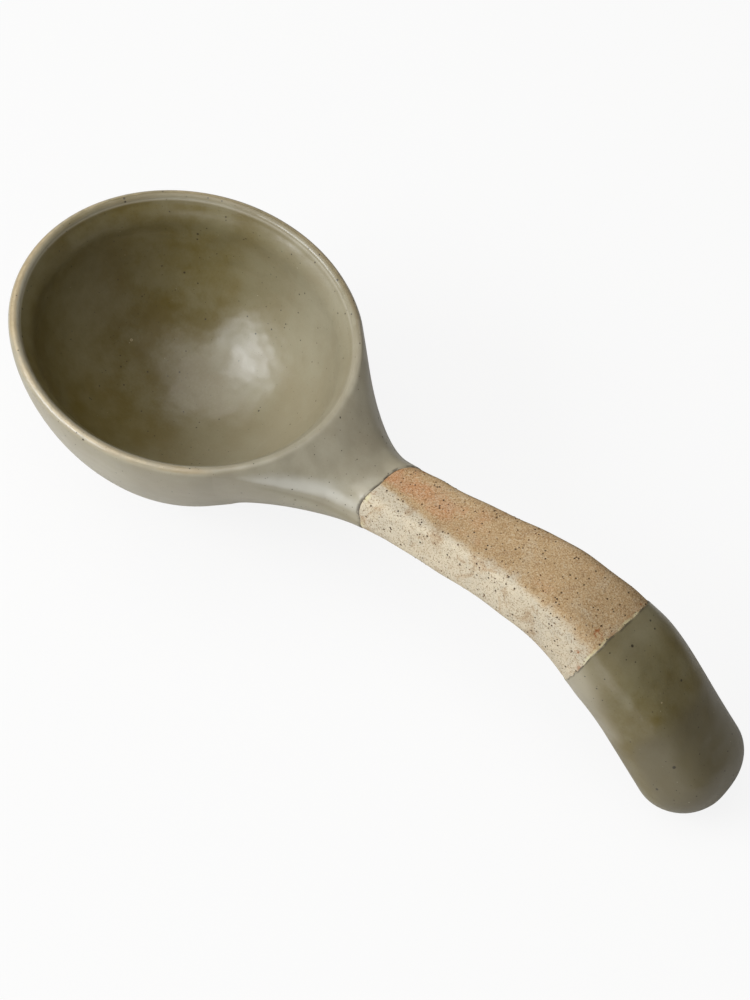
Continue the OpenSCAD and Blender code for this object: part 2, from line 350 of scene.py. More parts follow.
@dataclass
class Arm:
    """The neck and the carved handle, from the bowl's wall to the tip.

    A place on it is a distance s along it, 0 at the end of the neck, and a step m round it, numbered like
    the neck's mouth on the wall.
    """

    wall: Wall
    neck_l: float = 14.9  # Length of the neck beyond the rim.
    neck_drop: float = 11.3  # Drop of the middle line below the rim at the end of the neck.
    neck_rise: float = 8.5  # Upward slope there, in degrees.
    waist: Span = (16.6, 12.0)  # Width and thickness at the waist.
    belly: Span = (22.4, 19.4)  # Width and thickness where it is widest.
    run: float = 75.8  # Length from the end of the neck to the middle of the rounded end.
    end_l: float = 10.0  # Length of the rounded end.
    droop: float = 48.0  # Downward slope at the rounded end, in degrees.
    coat: float = 0.4  # Thickness of the glaze, on which the tip stands.
    end_line_share: float = 0.64  # Share of the run at which the lower glaze line lies.
    neck_pull_share: float = 0.6  # Share of the run over which the neck's slope is held.
    end_pull_share: float = 0.56  # Share of the run over which the end's slope is held.
    root_pull_share: float = 0.4  # Share of the neck's span over which it leaves the wall straight.
    grip_pull_share: float = 0.95  # Share of the neck's span over which it meets the handle straight.
    belly_share: float = 0.77  # Share of the run at which it is widest.
    rim_turn: float = 60.0  # Angle at which the neck's sides leave the rim's corners, in degrees.
    keel_turn: float = 120.0  # Angle at which they leave the lower corners.
    face_angles: tuple[float, ...] = (90.0, 14.0, -38.0, -90.0)  # Directions of the carved faces.
    ridge_angle: float = 38.0  # Angle of the upper ridges from straight up.
    under_angle: float = 40.0  # Angle of the lower ridges from straight down.
    face_power: float = 12.0  # How sharp the ridges are at the neck.
    end_power: float = 4.0  # How sharp they are at the end.
    carve_share: float = 0.025  # Depth of the knife's strokes, as a share of the radius.
    strokes: float = 2.5  # Strokes along each face.
    stroke_share: float = 0.37  # Share of a stroke by which the next face's strokes are moved on.
    neck_reach: float = 18.0  # Distance along the neck, by which its rows are counted.

    def __post_init__(self) -> None:
        """Work out the lower glaze line's distance and the four control points of the middle line."""
        self.end_line = self.run * self.end_line_share
        droop, climb = math.radians(self.droop), math.radians(self.neck_rise)
        neck_x = self.wall.length / 2 + self.neck_l
        end_z = self.coat + math.hypot(self.end_l * math.sin(droop), self.belly[1] / 2 * math.cos(droop))
        start = np.array([neck_x, 0, self.wall.height - self.neck_drop])
        end = np.array([neck_x + self.run, 0, end_z])
        aim = start + self.run * self.neck_pull_share * np.array([math.cos(climb), 0, math.sin(climb)])
        back = end - self.run * self.end_pull_share * np.array([math.cos(droop), 0, -math.sin(droop)])
        self.controls = (start, aim, back, end)

    def middle(self, t: Array) -> tuple[Array, Array]:
        """Middle line of the handle.

        Args:
            t: Shares of the handle's run.

        Returns:
            Points of the line and its directions.
        """
        a, b, c, d = self.controls
        t = np.asarray(t, float)[..., None]
        point = (1 - t) ** 3 * a + 3 * (1 - t) ** 2 * t * b + 3 * (1 - t) * t * t * c + t ** 3 * d
        way = (1 - t) ** 2 * (b - a) + 2 * (1 - t) * t * (c - b) + t * t * (d - c)
        return point, unit(way)

    def angle(self, m: Array) -> Array:
        """Return the angle round the handle at steps m, in degrees, where 0 is sideways and 90 is up."""
        ridge, under = self.ridge_angle, self.under_angle
        return self.wall.round_mouth(m, (90 + ridge, 90 - ridge, under - 90, -90 - under, ridge - 270))

    def radius(self, degrees: Array, t: Array, carve: float) -> Array:
        """Radius of the carved section for a unit thickness: flat faces with softened ridges.

        Args:
            degrees: Angles round the handle.
            t: Shares of the handle's run.
            carve: Depth of the knife's strokes.

        Returns:
            The radius at each angle.
        """
        power = mix(self.face_power, self.end_power, ease(t))
        total = np.zeros(np.broadcast(degrees, t).shape)
        for i, face in enumerate(self.face_angles):
            reach = 1 + carve * np.sin(2 * np.pi * (self.strokes * t + self.stroke_share * i))
            for side in {face, face if abs(face) == 90 else 180 - face}:
                total = total + (np.maximum(np.cos(np.radians(degrees - side)), 0) / reach) ** power
        return total ** (-1 / power)

    def ring(self, t: Array, m: Array, shift: Array | float = 0.0, scale: Array | float = 1.0) -> Array:
        """Points of the handle's section.

        Args:
            t: Shares of the handle's run.
            m: Steps round the handle.
            shift: Distance that the section is moved on along the line.
            scale: Scale that draws the section in.

        Returns:
            The points.
        """
        point, way = self.middle(t)
        degrees = self.angle(m)
        turn = np.radians(degrees)
        grown = ease(np.asarray(t) / self.belly_share)
        r = self.radius(degrees, t, self.carve_share) * scale
        level = np.where(np.sin(turn) < 0, -90.0, 90.0)
        across = r * np.cos(turn) / self.radius(np.zeros_like(degrees), t, 0)
        up = r * np.sin(turn) / self.radius(level, t, 0)
        across = across * mix(self.waist[0], self.belly[0], grown) / 2
        up = up * mix(self.waist[1], self.belly[1], grown) / 2
        centre = point + np.asarray(shift)[..., None] * way
        return centre + stack(-up * way[..., 2], across, up * way[..., 0])

    def neck(self, u: Array, m: Array) -> Array:
        """Points of the neck: it leaves the wall without a crease and gathers into the handle.

        Args:
            u: Shares of the way from the wall to the end of the neck.
            m: Steps round the neck.

        Returns:
            The points.
        """
        wall = self.wall
        k, n = wall.mouth_place(m)
        start = wall.point(k, n)
        around, out = wall.frame_at(k, n)
        aside = np.abs(n) / wall.neck_steps
        turn = np.radians(np.select([k == wall.crest, k == wall.keel], [
            self.rim_turn * aside ** 2, mix(180.0, self.keel_turn, aside),
        ], mix(self.rim_turn, self.keel_turn, (k - wall.crest) / wall.side)))[..., None]
        leave = np.cos(turn) * np.cross(around, out) - np.sign(n)[..., None] * np.sin(turn) * around
        finish = self.ring(np.zeros_like(m), m)
        arrive = self.middle(np.zeros_like(m))[1]
        span = np.linalg.norm(finish - start, axis=-1, keepdims=True)
        u = u[..., None]
        return ((1 + 2 * u) * (1 - u) ** 2 * start + u * u * (3 - 2 * u) * finish
                + u * (1 - u) ** 2 * span * self.root_pull_share * leave
                + u * u * (u - 1) * span * self.grip_pull_share * arrive)

    def at(self, s: Array, m: Array) -> Array:
        """Points of the neck, the handle and its rounded end.

        Args:
            s: Distances along the arm.
            m: Steps round it.

        Returns:
            The points.
        """
        s, m = np.broadcast_arrays(s, m)
        neck = self.neck(np.clip(1 + s / self.neck_reach, 0, 1), m)
        past = np.clip((s - self.run) / self.end_l, 0, 1) * np.pi / 2
        grip = self.ring(np.clip(s / self.run, 0, 1), m, self.end_l * np.sin(past), np.cos(past))
        return np.where((s < 0)[..., None], neck, grip)


@dataclass
class GlazeLine:
    """A glaze line across the handle: where a dipped coat ends, with its wander and its small nicks."""

    place: float  # Distance of the line along the handle.
    seed: int  # Chooses the nicks.
    turns: tuple[Span, ...]  # Angles round the handle, and the line's offset at each.
    wander: float = 0.14  # How far the line wanders.
    nick: float = 0.09  # How deep the nicks are.
    wander_times: tuple[int, int] = (2, 7)  # How often the wander turns, from the first to below the second.
    nick_times: tuple[int, int] = (8, 34)  # The same for the nicks.
    reach: float = 5.0  # Distance along the handle over which the surface rows follow the line.

    def offset(self, degrees: Array) -> Array:
        """Offset of the line along the handle.

        Args:
            degrees: Angles round the handle.

        Returns:
            The offset at each angle.
        """
        rng = np.random.default_rng(self.seed)
        a = np.radians(degrees)
        total = np.interp(degrees % 360, *np.array(self.turns).T)
        for size, (lowest, highest) in ((self.wander, self.wander_times), (self.nick, self.nick_times)):
            for times in range(lowest, highest):
                total = total + size * rng.normal() / math.sqrt(highest - lowest) * np.sin(
                    times * a + rng.uniform(0, 2 * np.pi))
        return total

    def slide(self, s: Array, degrees: Array) -> Array:
        """Return how far a surface row at distance s is slid, so that one row lies on the line."""
        return self.offset(degrees) * hump(s, self.place, self.reach)


@dataclass
class Coat:
    """How a coat of glaze stands on the clay: an even skin with a rounded, slightly swollen edge."""

    thickness: float = 0.4  # Thickness of the skin.
    edge: float = 0.15  # Thickness just behind the edge.
    round_off: float = 0.35  # Distance over which the edge rounds off.
    run: float = 7.0  # Distance over which the coat grows to its full thickness.

    def at(self, inside: Array) -> Array:
        """Thickness of the coat.

        Args:
            inside: Distances inside the line.

        Returns:
            The thickness at each distance, 0 outside the line.
        """
        t = np.clip(inside / self.round_off, 0, 1)
        full = mix(self.edge, self.thickness, ease(inside / self.run))
        return np.where(inside > 0, full * np.sqrt(1 - (1 - t) ** 2), 0.0)


@dataclass
class Net:
    """Points and faces of a closed or open surface, with values at its points."""

    points: Array
    faces: list[Face]
    traits: dict[Trait, Array] = field(default_factory=dict)

    def normals(self) -> Array:
        """Work out the direction out of the surface.

        Returns:
            A unit vector for each point.
        """
        corner = np.array([(f[0], f[i], f[i + 1]) for f in self.faces for i in range(1, len(f) - 1)])
        a, b, c = (self.points[corner[:, i]] for i in range(3))
        flat = np.cross(b - a, c - a)
        total = np.zeros_like(self.points)
        for i in range(3):
            np.add.at(total, corner[:, i], flat)
        return unit(total)

    def to_object(self, name: str, material: Material) -> Object:
        """Make the surface an object, in metres, with smooth faces.

        Args:
            name: Name of the piece.
            material: Its finish.

        Returns:
            The new object, linked to the scene.
        """
        used = sorted({i for f in self.faces for i in f})
        new = {old: i for i, old in enumerate(used)}
        mesh = bpy.data.meshes.new(name)
        mesh.from_pydata((self.points[used] * MM).tolist(), [], [[new[i] for i in f] for f in self.faces])
        for trait, values in self.traits.items():
            layer = mesh.attributes.new(trait.value, "FLOAT", "POINT")
            layer.data.foreach_set("value", values[used].astype(np.float32))
        mesh.shade_smooth()
        mesh.materials.append(material)
        return add_object(name, mesh)


@dataclass(frozen=True)
class PoolsAndLight:
    """Where the glaze is worn at the rim, where it has pooled and where it is stretched, and where shade,
    highlight and sheen are painted into its colour.

    A span is the start and the end of a soft step, or the middle and the width of a bell curve. Those on the
    bowl are rows, or shares of its half width. Those on the arm are millimetres along it or degrees round it.
    """

    rim: Span = (0.6, 1.5)  # Rows below the crest where the glaze is worn.
    rim_away: Span = (26.0, 70.0)  # Degrees from the handle over which the wear grows.
    rim_least: float = 0.42  # The wear beside the handle.
    rim_along: float = 1.1  # Distance along the neck over which the wear ends.
    hollow: Span = (0.8, -0.1)  # Rows from the hollow's edge at which its pool begins, and the painted shade in the hollow with it.
    hollow_shares: Span = (0.45, 1.0)  # The pool and painted shade at the handle's side and opposite to it, darker opposite, on the side turned from the light.
    shaded_side: Span = (0.754, -0.546)  # Where along the spoon it goes from the one to the other.
    far_start: float = 0.4  # Where the far side begins, on which the pool and the painted shade draw back, so that it shows lighter where the light falls.
    far_pull: float = 0.5
    far_way: Span = (-0.35, 0.9)  # Direction of the side of the lip that lies farthest.
    far: Span = (0.0, 0.6)
    lip: Span = (-0.5, 1.8)  # A line on the lip, thinner on the near side and thicker on the far one.
    lip_shares: Span = (0.25, 0.7)
    below: Span = (3.0, 2.2)  # A darker line below the lip, on the near side only: painted shade under the lip.
    below_near: Span = (0.3, -0.2)
    below_share: float = 0.3
    side_top: Span = (138.0, 174.0)  # The near side of the handle's end, painted paler as a sheen of the light that it faces.
    side_turn: float = 0.6  # Degrees by which its upper edge turns down for each millimetre.
    side_foot: Span = (300.0, 260.0)
    side_fade: Span = (14.0, 22.0)
    side_at_tip: float = 0.65
    side_sheen_share: float = 0.52
    back: Span = (54.0, 40.0)  # The far side of the handle's end, painted with a pale line of reflected light.
    back_sheen_share: float = 0.15
    end_least: float = 0.68  # The pool just past the lower glaze line.
    end_rise: Span = (2.0, 13.0)
    # The end darkens and greys towards its tip, as pooled glaze and as painted shade where the tip meets the
    # table.
    tip_rise: Span = (15.0, 21.0)
    tip_share: float = 0.4
    tip: float = 1.3
    neck: Span = (-17.0, -9.0)  # Where along the neck the shoulder's streaks set in.
    shoulders: Span = (137.0, 150.0)  # The near shoulder's angle along the neck and at the glaze line.
    shoulder_turn: Span = (-6.0, 0.0)
    thin: Span = (0.0, 19.0)  # The painted highlight along the shoulder, over glaze stretched thin there.
    highlight_rise: Span = (-1.0, -6.0)
    highlight_at_line: float = 0.6
    thick: Span = (30.0, 11.0)  # The thicker glaze below it, darkened further as painted shade under the highlight.
    thick_glaze_and_shade_share: float = 0.45


@dataclass
class Spoon:
    """The spoon's clay as one surface of rows and columns, from which every piece takes its share."""

    wall: Wall
    arm: Arm
    upper: GlazeLine  # The glaze line at the neck.
    lower: GlazeLine  # The glaze line above the handle's end.
    coat: Coat = field(default_factory=Coat)
    fine: int = 5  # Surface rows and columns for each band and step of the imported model.
    hand: float = 0.14  # Depth of the soft unevenness that the hand leaves.
    hand_waves: Waves = Waves(SEED, 16, 48)
    dents: float = 0.3  # Depth of the dents that the knife leaves in the bare band.
    dent_waves: Waves = Waves(SEED + 1, 4.5, 15, 22)
    neck_bands: int = 7  # Bands of rows along the neck, then over the rounded end.
    end_bands: int = 6
    row_gap: float = 0.8  # Distance between the rows along the grip.
    # Distances of the rows each side of a glaze line.
    line_gaps: tuple[float, ...] = (0, 0.05, 0.11, 0.18, 0.26, 0.36, 0.48, 0.62, 0.8, 1.0, 1.25, 1.55)
    least_gap: float = 0.04  # A row that lies closer to one of those beside a glaze line is left out.
    sponge: int = 130  # Strokes of the sponge that round the neck's shoulders.
    sponge_width: float = 26.0  # Degrees each side of a ridge over which the sponge works.
    sponge_root: Span = (0.3, 3.8)  # Distances from the wall over which its work sets in.
    sponge_neck: Span = (5.0, -4.0)  # Distances from the upper glaze line over which it ends.
    sponge_end: Span = (-1.0, 7.0)  # Distances from the lower glaze line over which it sets in again.
    foot_fade: float = 6.0  # Height above the foot's glaze line over which the unevenness grows.
    band_fade: float = 3.0  # Distance from the glaze lines over which the dents grow.
    fillet: float = 0.9  # Thickness of the clay that is smoothed into the corner under the neck.
    fillet_aside: Span = (7.5, 3.5)  # Columns from the neck's middle over which it thickens.
    fillet_above: Span = (2.5, 0.0)  # Rows above the neck's lower end over which it thickens.
    fillet_along: float = 3.0  # Distance along the neck over which it thins out.
    pools_and_light: PoolsAndLight = PoolsAndLight()

    def __post_init__(self) -> None:
        """Lay out the rows, the columns and the points, and number the points."""
        wall, arm = self.wall, self.arm
        self.k = np.arange(round(wall.foot_row) * self.fine + 1) / self.fine
        self.n = np.arange(wall.steps * self.fine) / self.fine
        self.m = np.arange(round(wall.side + 2 * wall.neck_steps) * 2 * self.fine) / self.fine
        self.s = self.stations()
        self.bowl_size, self.arm_size = (self.k.size, self.n.size), (self.s.size, self.m.size)
        self.grid = np.meshgrid(self.k, self.n, indexing="ij")
        degrees = arm.angle(self.m)[None, :]
        s = self.s[:, None]
        slid = s + self.upper.slide(s, degrees) + self.lower.slide(s, degrees)
        on_arm = arm.at(np.where(s <= -arm.neck_reach, s, slid), self.m[None, :])
        middle, way = arm.middle(np.array(1.0))
        points = np.concatenate([wall.point(*self.grid).reshape(-1, 3),
                                 self.round_shoulders(on_arm, degrees).reshape(-1, 3),
                                 (middle + arm.end_l * way)[None]])
        self.bowl_ids, self.arm_ids = self.number_points()
        self.net = Net(points, self.bowl_faces(wall.foot_row, False) + self.arm_faces(0, self.s.size))
        self.roughen()

    def number_points(self) -> tuple[Numbers, Numbers]:
        """Number the points by row and column.

        Returns:
            The numbers on the bowl, and on the arm, whose first row is the neck's mouth on the wall and
            whose last row is the tip.
        """
        count = self.k.size * self.n.size
        bowl = np.arange(count).reshape(self.bowl_size)
        bowl[0] = 0
        row, column = (np.rint(place * self.fine).astype(int) for place in self.wall.mouth_place(self.m))
        arm = count + np.arange(self.s.size * self.m.size).reshape(self.arm_size)
        arm[0] = bowl[row, column % self.n.size]
        return bowl, np.concatenate([arm, np.full((1, self.m.size), arm[-1, -1] + 1)])

    def round_shoulders(self, points: Array, degrees: Array) -> Array:
        """Round off the shoulders of the neck and of the handle's end, as a sponge does.

        Args:
            points: Rows and columns of the arm's points.
            degrees: Angle of each column.

        Returns:
            The rounded points.
        """
        at_neck = rise(self.s + self.arm.neck_reach, *self.sponge_root)
        at_neck = at_neck * rise(self.s - self.upper.place, *self.sponge_neck)
        at_end = rise(self.s - self.lower.place, *self.sponge_end)
        from_top = (degrees + 90) % 360 - 180
        on_ridge = hump(np.abs(from_top), self.arm.ridge_angle, self.sponge_width)
        share = (at_neck[:, None] + at_end[:, None] * (from_top > 0)) * on_ridge
        for _ in range(self.sponge):
            mean = (np.roll(points, 1, 1) + np.roll(points, -1, 1)) / 2
            points = mix(points, mean, share[..., None] / 2)
        return points

    def stations(self) -> Array:
        """Space the rows along the arm, gathered at both glaze lines.

        Returns:
            The distance of each row.
        """
        arm, places = self.arm, np.array([self.upper.place, self.lower.place])
        neck_rows, end_rows = self.neck_bands * self.fine, self.end_bands * self.fine
        plain = np.concatenate([
            -arm.neck_reach * (1 - np.arange(neck_rows) / neck_rows), np.arange(0, arm.run, self.row_gap),
            arm.run + arm.end_l * np.sin(np.pi / 2 * np.arange(end_rows) / end_rows)])
        gaps = np.array(self.line_gaps)
        lines = np.concatenate([place + sign * gaps for place in places for sign in (-1, 1)])
        away, from_line = (np.abs(plain[:, None] - others).min(1) for others in (lines, places))
        keep = (away > self.least_gap) & (from_line > self.line_gaps[-1])
        return np.unique(np.round(np.concatenate([plain[keep], lines]), 6))

    def bowl_faces(self, last: int, covered: bool) -> list[Face]:
        """Make the faces of the bowl down to a row of the wall.

        Args:
            last: The row.
            covered: Whether to make those under the neck's mouth, or all the others.

        Returns:
            The faces.
        """
        wall, fine = self.wall, self.fine
        row, column = np.mgrid[:last * fine, :self.n.size]
        aside = np.minimum(column, self.n.size - 1 - column) < wall.neck_steps * fine
        under = (row >= wall.crest * fine) & (row < wall.keel * fine) & aside
        return quads(self.bowl_ids[:last * fine + 1], under == covered)

    def arm_faces(self, first: int, last: int) -> list[Face]:
        """Return the faces of the arm between two rows, where the row past the last one is the tip."""
        return quads(self.arm_ids[first:last + 1])

    def arm_row(self, place: float) -> int:
        """Return the row of the arm that lies nearest to a distance along it."""
        return int(np.abs(self.s - place).argmin())

    def values(self, on_bowl: Array, on_arm: Array, tip: float) -> Array:
        """Return one value for each point of the bowl, of the arm and of the tip."""
        sides = ((on_bowl, self.bowl_size), (on_arm, self.arm_size))
        return np.concatenate([*(np.broadcast_to(value, size).ravel() for value, size in sides), [tip]])

    def roughen(self) -> None:
        """Give the clay the soft unevenness of the hand, fading out at the foot and the tip."""
        points = self.net.points
        low = rise(points[:, 2] - self.wall.foot_line, 0, self.foot_fade)
        on_band = rise(self.s - self.upper.place, 0, self.band_fade)
        on_band = on_band * rise(self.s - self.lower.place, 0, -self.band_fade)
        uneven = (self.hand_waves.at(points) - 1) * low
        knife = (self.dent_waves.at(points) - 1) * self.values(np.zeros(1), on_band[:, None], 0.0)
        depth = (self.hand * uneven + self.dents * knife) / 2 + self.fillet * self.luting()
        self.net.points = points + self.net.normals() * depth[:, None]

    def luting(self) -> Array:
        """Spread the smoothed clay where the neck's underside meets the wall.

        Returns:
            Its share of the full thickness at each point.
        """
        wall = self.wall

        def near(k: Array, n: Array) -> Array:
            """Return how near a place on the wall is to the lower end of the neck's mouth."""
            aside = np.abs((n + wall.steps / 2) % wall.steps - wall.steps / 2)
            return rise(aside, *self.fillet_aside) * rise(np.maximum(wall.keel - k, 0), *self.fillet_above)

        on_bowl = near(*self.grid) * hump(np.maximum(self.grid[0] - wall.keel, 0), 0, 1)
        along_neck = hump(self.s[:, None], -self.arm.neck_reach, self.fillet_along)
        on_neck = near(*wall.mouth_place(self.m)) * along_neck
        return self.values(on_bowl, on_neck, 0.0)

    def line_distance(self) -> Array:
        """Measure how far the points lie from the nearest glaze line.

        Returns:
            The distance of each point, above 0 on the glazed side.
        """
        upper, lower = self.upper.place - self.s, self.s - self.lower.place
        foot = np.minimum((self.wall.glaze_row - self.k) * FOOT_ROW_MM, FAR_MM)
        return self.values(foot[:, None], np.maximum(upper, lower)[:, None], FAR_MM)

    def rim_share(self) -> Array:
        """Tell how near the points are to the rim's crest, fading beside the neck and along it.

        Returns:
            The share at each point.
        """
        pools_and_light = self.pools_and_light

        def near(k: Array, n: Array) -> Array:
            """Return how near a place on the bowl is to the rim's crest."""
            away = rise(np.abs(np.degrees(self.wall.azimuth(k, n))), *pools_and_light.rim_away)
            return hump(k - self.wall.crest, *pools_and_light.rim) * mix(pools_and_light.rim_least, 1.0, away)

        along_neck = hump(self.s[:, None], -self.arm.neck_reach, pools_and_light.rim_along)
        return self.values(near(*self.grid), near(*self.wall.mouth_place(self.m)) * along_neck, 0.0)

    def pool_and_light_share(self) -> Array:
        """Return how thickly the glaze has run together, and below 0 how thinly it is stretched, raised where
        shade is painted and lowered where highlight and sheen are painted.
        """
        return self.values(self.pool_and_light_on_bowl(), self.pool_and_light_on_arm(), self.pools_and_light.tip)

    def pool_and_light_on_bowl(self) -> Array:
        """Tell how thickly the glaze lies in the hollow, on the lip and below it, with painted shade in the
        hollow, most on the side turned from the light, and under the lip on the near side.

        Returns:
            The share at each row and column of the bowl.
        """
        pools_and_light, wall = self.pools_and_light, self.wall
        in_hollow = rise(self.grid[0] - wall.hollow_bands, *pools_and_light.hollow)
        from_crest = self.grid[0] - wall.crest
        place = wall.point(*self.grid)[..., :2] / (wall.width / 2)
        along, across = place[..., 0], place[..., 1]
        # Painted shade: the hollow is darker on its side turned from the light, and lighter on the far side
        # where the light falls.
        shaded_side = rise(along + pools_and_light.far_pull * np.maximum(across - pools_and_light.far_start, 0.0), *pools_and_light.shaded_side)
        far = rise(place @ np.array(pools_and_light.far_way), *pools_and_light.far)
        on_lip = hump(from_crest, *pools_and_light.lip) * mix(*pools_and_light.lip_shares, far)
        # Painted shade under the lip, on the near side.
        below_lip = pools_and_light.below_share * hump(from_crest, *pools_and_light.below) * rise(across, *pools_and_light.below_near)
        return np.maximum.reduce([in_hollow * mix(*pools_and_light.hollow_shares, shaded_side), on_lip, below_lip])

    def pool_and_light_on_arm(self) -> Array:
        """Tell how thickly the glaze lies on the handle's end and how thinly over the neck's near shoulder,
        with painted sheen on the end's sides, painted shade towards its tip, a painted highlight along the
        shoulder and painted shade below it.

        Returns:
            The share at each row and column of the arm.
        """
        pools_and_light, s = self.pools_and_light, self.s[:, None]
        degrees = self.arm.angle(self.m)[None, :] % 360
        past = s - self.lower.place
        lit_near_side = rise(degrees - pools_and_light.side_turn * past, *pools_and_light.side_top) * rise(degrees, *pools_and_light.side_foot)
        lit_near_side = lit_near_side * mix(1.0, pools_and_light.side_at_tip, rise(past, *pools_and_light.side_fade))
        along_end = mix(pools_and_light.end_least, 1.0, rise(past, *pools_and_light.end_rise))
        along_end = along_end + pools_and_light.tip_share * rise(past, *pools_and_light.tip_rise)
        # Painted sheen: the end's near side and its far edge are lightened as if they reflected the lamps.
        painted_sheen = pools_and_light.side_sheen_share * lit_near_side + pools_and_light.back_sheen_share * rise(degrees, *pools_and_light.back)
        shoulder = degrees - mix(*pools_and_light.shoulders, rise(s, *pools_and_light.shoulder_turn))
        along_neck = rise(s, *pools_and_light.neck) * rise(s, FIT_MM, 0)
        # A painted highlight along the near shoulder, over glaze stretched thin there.
        thin = mix(pools_and_light.highlight_at_line, 1.0, rise(s, *pools_and_light.highlight_rise)) * hump(shoulder, *pools_and_light.thin)
        # Thicker glaze and painted shade in a band below that highlight.
        thick = pools_and_light.thick_glaze_and_shade_share * hump(shoulder, *pools_and_light.thick)
        return (past > -FIT_MM) * (along_end - painted_sheen) + along_neck * (thick - thin)

    def coat_net(self, faces: list[Face], inside: Array) -> Net:
        """Make a closed coat: its face in the air, and the same surface on the clay turned round.

        Args:
            faces: The faces that the coat covers.
            inside: Distance of each point inside the coat's edge.

        Returns:
            The closed surface. Points at the edge belong to both sides.
        """
        thickness = self.coat.at(inside)
        count = len(self.net.points)
        points = np.concatenate([self.net.points + self.net.normals() * thickness[:, None], self.net.points])
        below = np.where(thickness > 0, count, 0) + np.arange(count)
        backs = [tuple(below[list(reversed(f))].tolist()) for f in faces]
        return Net(points, faces + backs, {trait: np.tile(v, 2) for trait, v in self.net.traits.items()})


def operator(operation: str, swapped: bool = False) -> Callable[["Value", "Value | float"], "Value"]:
    """Make a method of Value that adds a Math node.

    Args:
        operation: The node's operation.
        swapped: Whether the other value comes first.

    Returns:
        The method.
    """
    def method(self: "Value", other: "Value | float") -> "Value":
        """Return the operation's result on this value and another."""
        return self.graph.maths(operation, *((other, self) if swapped else (self, other)))

    return method


class Value:
    """A socket of a node tree that takes part in sums, so that node maths reads as a formula."""

    __add__ = __radd__ = operator("ADD")
    __mul__ = __rmul__ = operator("MULTIPLY")
    __sub__, __rsub__ = operator("SUBTRACT"), operator("SUBTRACT", swapped=True)
    __truediv__, __pow__ = operator("DIVIDE"), operator("POWER")

    def __init__(self, graph: "Graph", socket: Socket) -> None:
        """Keep the tree and the socket."""
        self.graph = graph
        self.socket = socket

    def maths(self, operation: str, *others: "Value | float") -> "Value":
        """Return a Math node's result on this value and others."""
        return self.graph.maths(operation, self, *others)

    def within(self, low: float, high: float) -> "Value":
        """Return the value, held between two limits."""
        return self.maths("MAXIMUM", low).maths("MINIMUM", high)

    def over(self, start: float, end: float) -> "Value":
        """Add a soft step.

        Args:
            start: Where it starts.
            end: Where it ends, which may lie below the start.

        Returns:
            0 before the start and 1 past the end.
        """
        falls = end < start
        return Value(self.graph, self.graph.node("ShaderNodeMapRange", {
            "Value": self, "From Min": min(start, end), "From Max": max(start, end),
            "To Min": float(falls), "To Max": float(not falls)},
            interpolation_type="SMOOTHSTEP").outputs["Result"])


